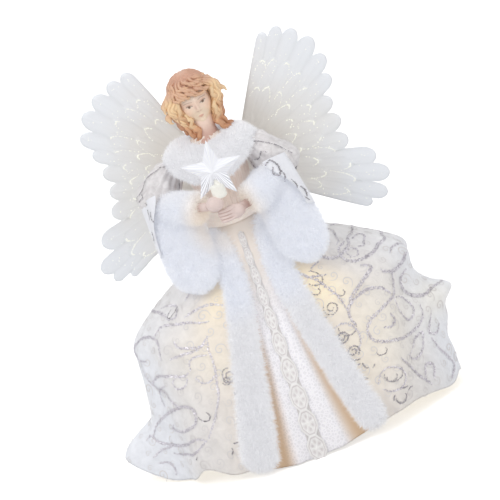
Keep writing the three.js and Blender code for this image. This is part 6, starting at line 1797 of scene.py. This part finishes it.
class TOPPER_OT_stage(bpy.types.Operator):
    """Makes the floor, the light and the camera"""

    bl_idname = "topper.stage"
    bl_label = "Stage"

    def execute(self, context):
        stage, scene = context.scene.topper_stage, context.scene
        scene.view_settings.view_transform = "Standard"

        corners = [(FLOOR_REACH * x, FLOOR_REACH * y, FLOOR_Z) for x, y in ((-1, -1), (1, -1), (1, 1), (-1, 1))]
        mesh = mesh_of("floor", corners, [(0, 1, 2, 3)])
        # Matt painted board, without gloss: lifted to white for the rays that see it, and with no light for the rest
        material, tree = surface(
            "painted board", Roughness=0.9, Specular_IOR_Level=0.0, Base_Color=rgb("#e6e6e6"),
            Emission_Color=(1.0, 1.0, 1.0, 1.0),
        )
        lift = add(tree, "ShaderNodeMath", {0: direct_rays(tree), 1: BACKGROUND}, operation="MULTIPLY")
        mesh.materials.append(dressed(material, Emission_Strength=lift.outputs[0]))
        new_object("floor", mesh)

        world = bpy.data.worlds.new("studio")
        scene.world = world
        world.use_nodes = True
        tree = world.node_tree
        sky = tree.nodes["Background"]
        level = add(tree, "ShaderNodeMapRange", {"Value": direct_rays(tree), 3: BACKGROUND, 4: 1.0})
        sky.inputs["Color"].default_value = (1.0, 1.0, 1.0, 1.0)
        tree.links.new(level.outputs[0], sky.inputs["Strength"])

        for name, (place, power, width) in LAMPS.items():
            light = bpy.data.lights.new(name, "AREA")
            light.energy, light.size = power, width
            lamp = new_object(name, light)
            lamp.location = place
            lamp.rotation_euler = (Vector((0, 0, 0.15)) - Vector(place)).to_track_quat("-Z", "Y").to_euler()

        a, e, roll = stage.azimuth, stage.elevation, stage.roll
        right = Vector((math.cos(a), math.sin(a), 0.0))
        up = Vector((-math.sin(a) * math.sin(e), math.cos(a) * math.sin(e), math.cos(e)))
        back = right.cross(up)
        middle = right * (AIM[0] * MM) + up * (AIM[1] * MM) + back * (AIM[2] * MM)
        across = right * math.cos(roll) - up * math.sin(roll)
        upward = right * math.sin(roll) + up * math.cos(roll)
        data = bpy.data.cameras.new("camera")
        data.sensor_width = 36.0
        data.lens = data.sensor_width * stage.distance / stage.view_width
        camera = new_object("camera", data)
        turn = Matrix((across, upward, back)).transposed().to_4x4()
        camera.matrix_world = Matrix.Translation(middle + back * stage.distance) @ turn
        scene.camera = camera
        return {"FINISHED"}


PIECES = (
    TOPPER_OT_stage, TOPPER_OT_hardware, TOPPER_OT_overskirt, TOPPER_OT_panel, TOPPER_OT_fur, TOPPER_OT_bodice,
    TOPPER_OT_head, TOPPER_OT_hands, TOPPER_OT_wings,
)


class TOPPER_PT_panel(bpy.types.Panel):
    """Lists the topper's pieces"""

    bl_idname = "TOPPER_PT_panel"
    bl_label = "Angel Tree Topper"
    bl_space_type = "VIEW_3D"
    bl_region_type = "UI"
    bl_category = "Topper"

    def draw(self, context):
        for operator in PIECES:
            self.layout.operator(operator.bl_idname)


GROUPS = {
    "topper_dress": TopperDress, "topper_fur": TopperFur, "topper_wings": TopperWings, "topper_head": TopperHead,
    "topper_stage": TopperStage,
}


def register():
    for kind in (*GROUPS.values(), *PIECES, TOPPER_PT_panel):
        bpy.utils.register_class(kind)
    for name, kind in GROUPS.items():
        setattr(bpy.types.Scene, name, bpy.props.PointerProperty(type=kind))


def unregister():
    for name in GROUPS:
        delattr(bpy.types.Scene, name)
    for kind in reversed((*GROUPS.values(), *PIECES, TOPPER_PT_panel)):
        bpy.utils.unregister_class(kind)


def main():
    register()
    for operator in PIECES:
        getattr(bpy.ops.topper, operator.bl_idname.split(".")[1])()
    bpy.context.view_layer.update()


if __name__ == "__main__":
    main()
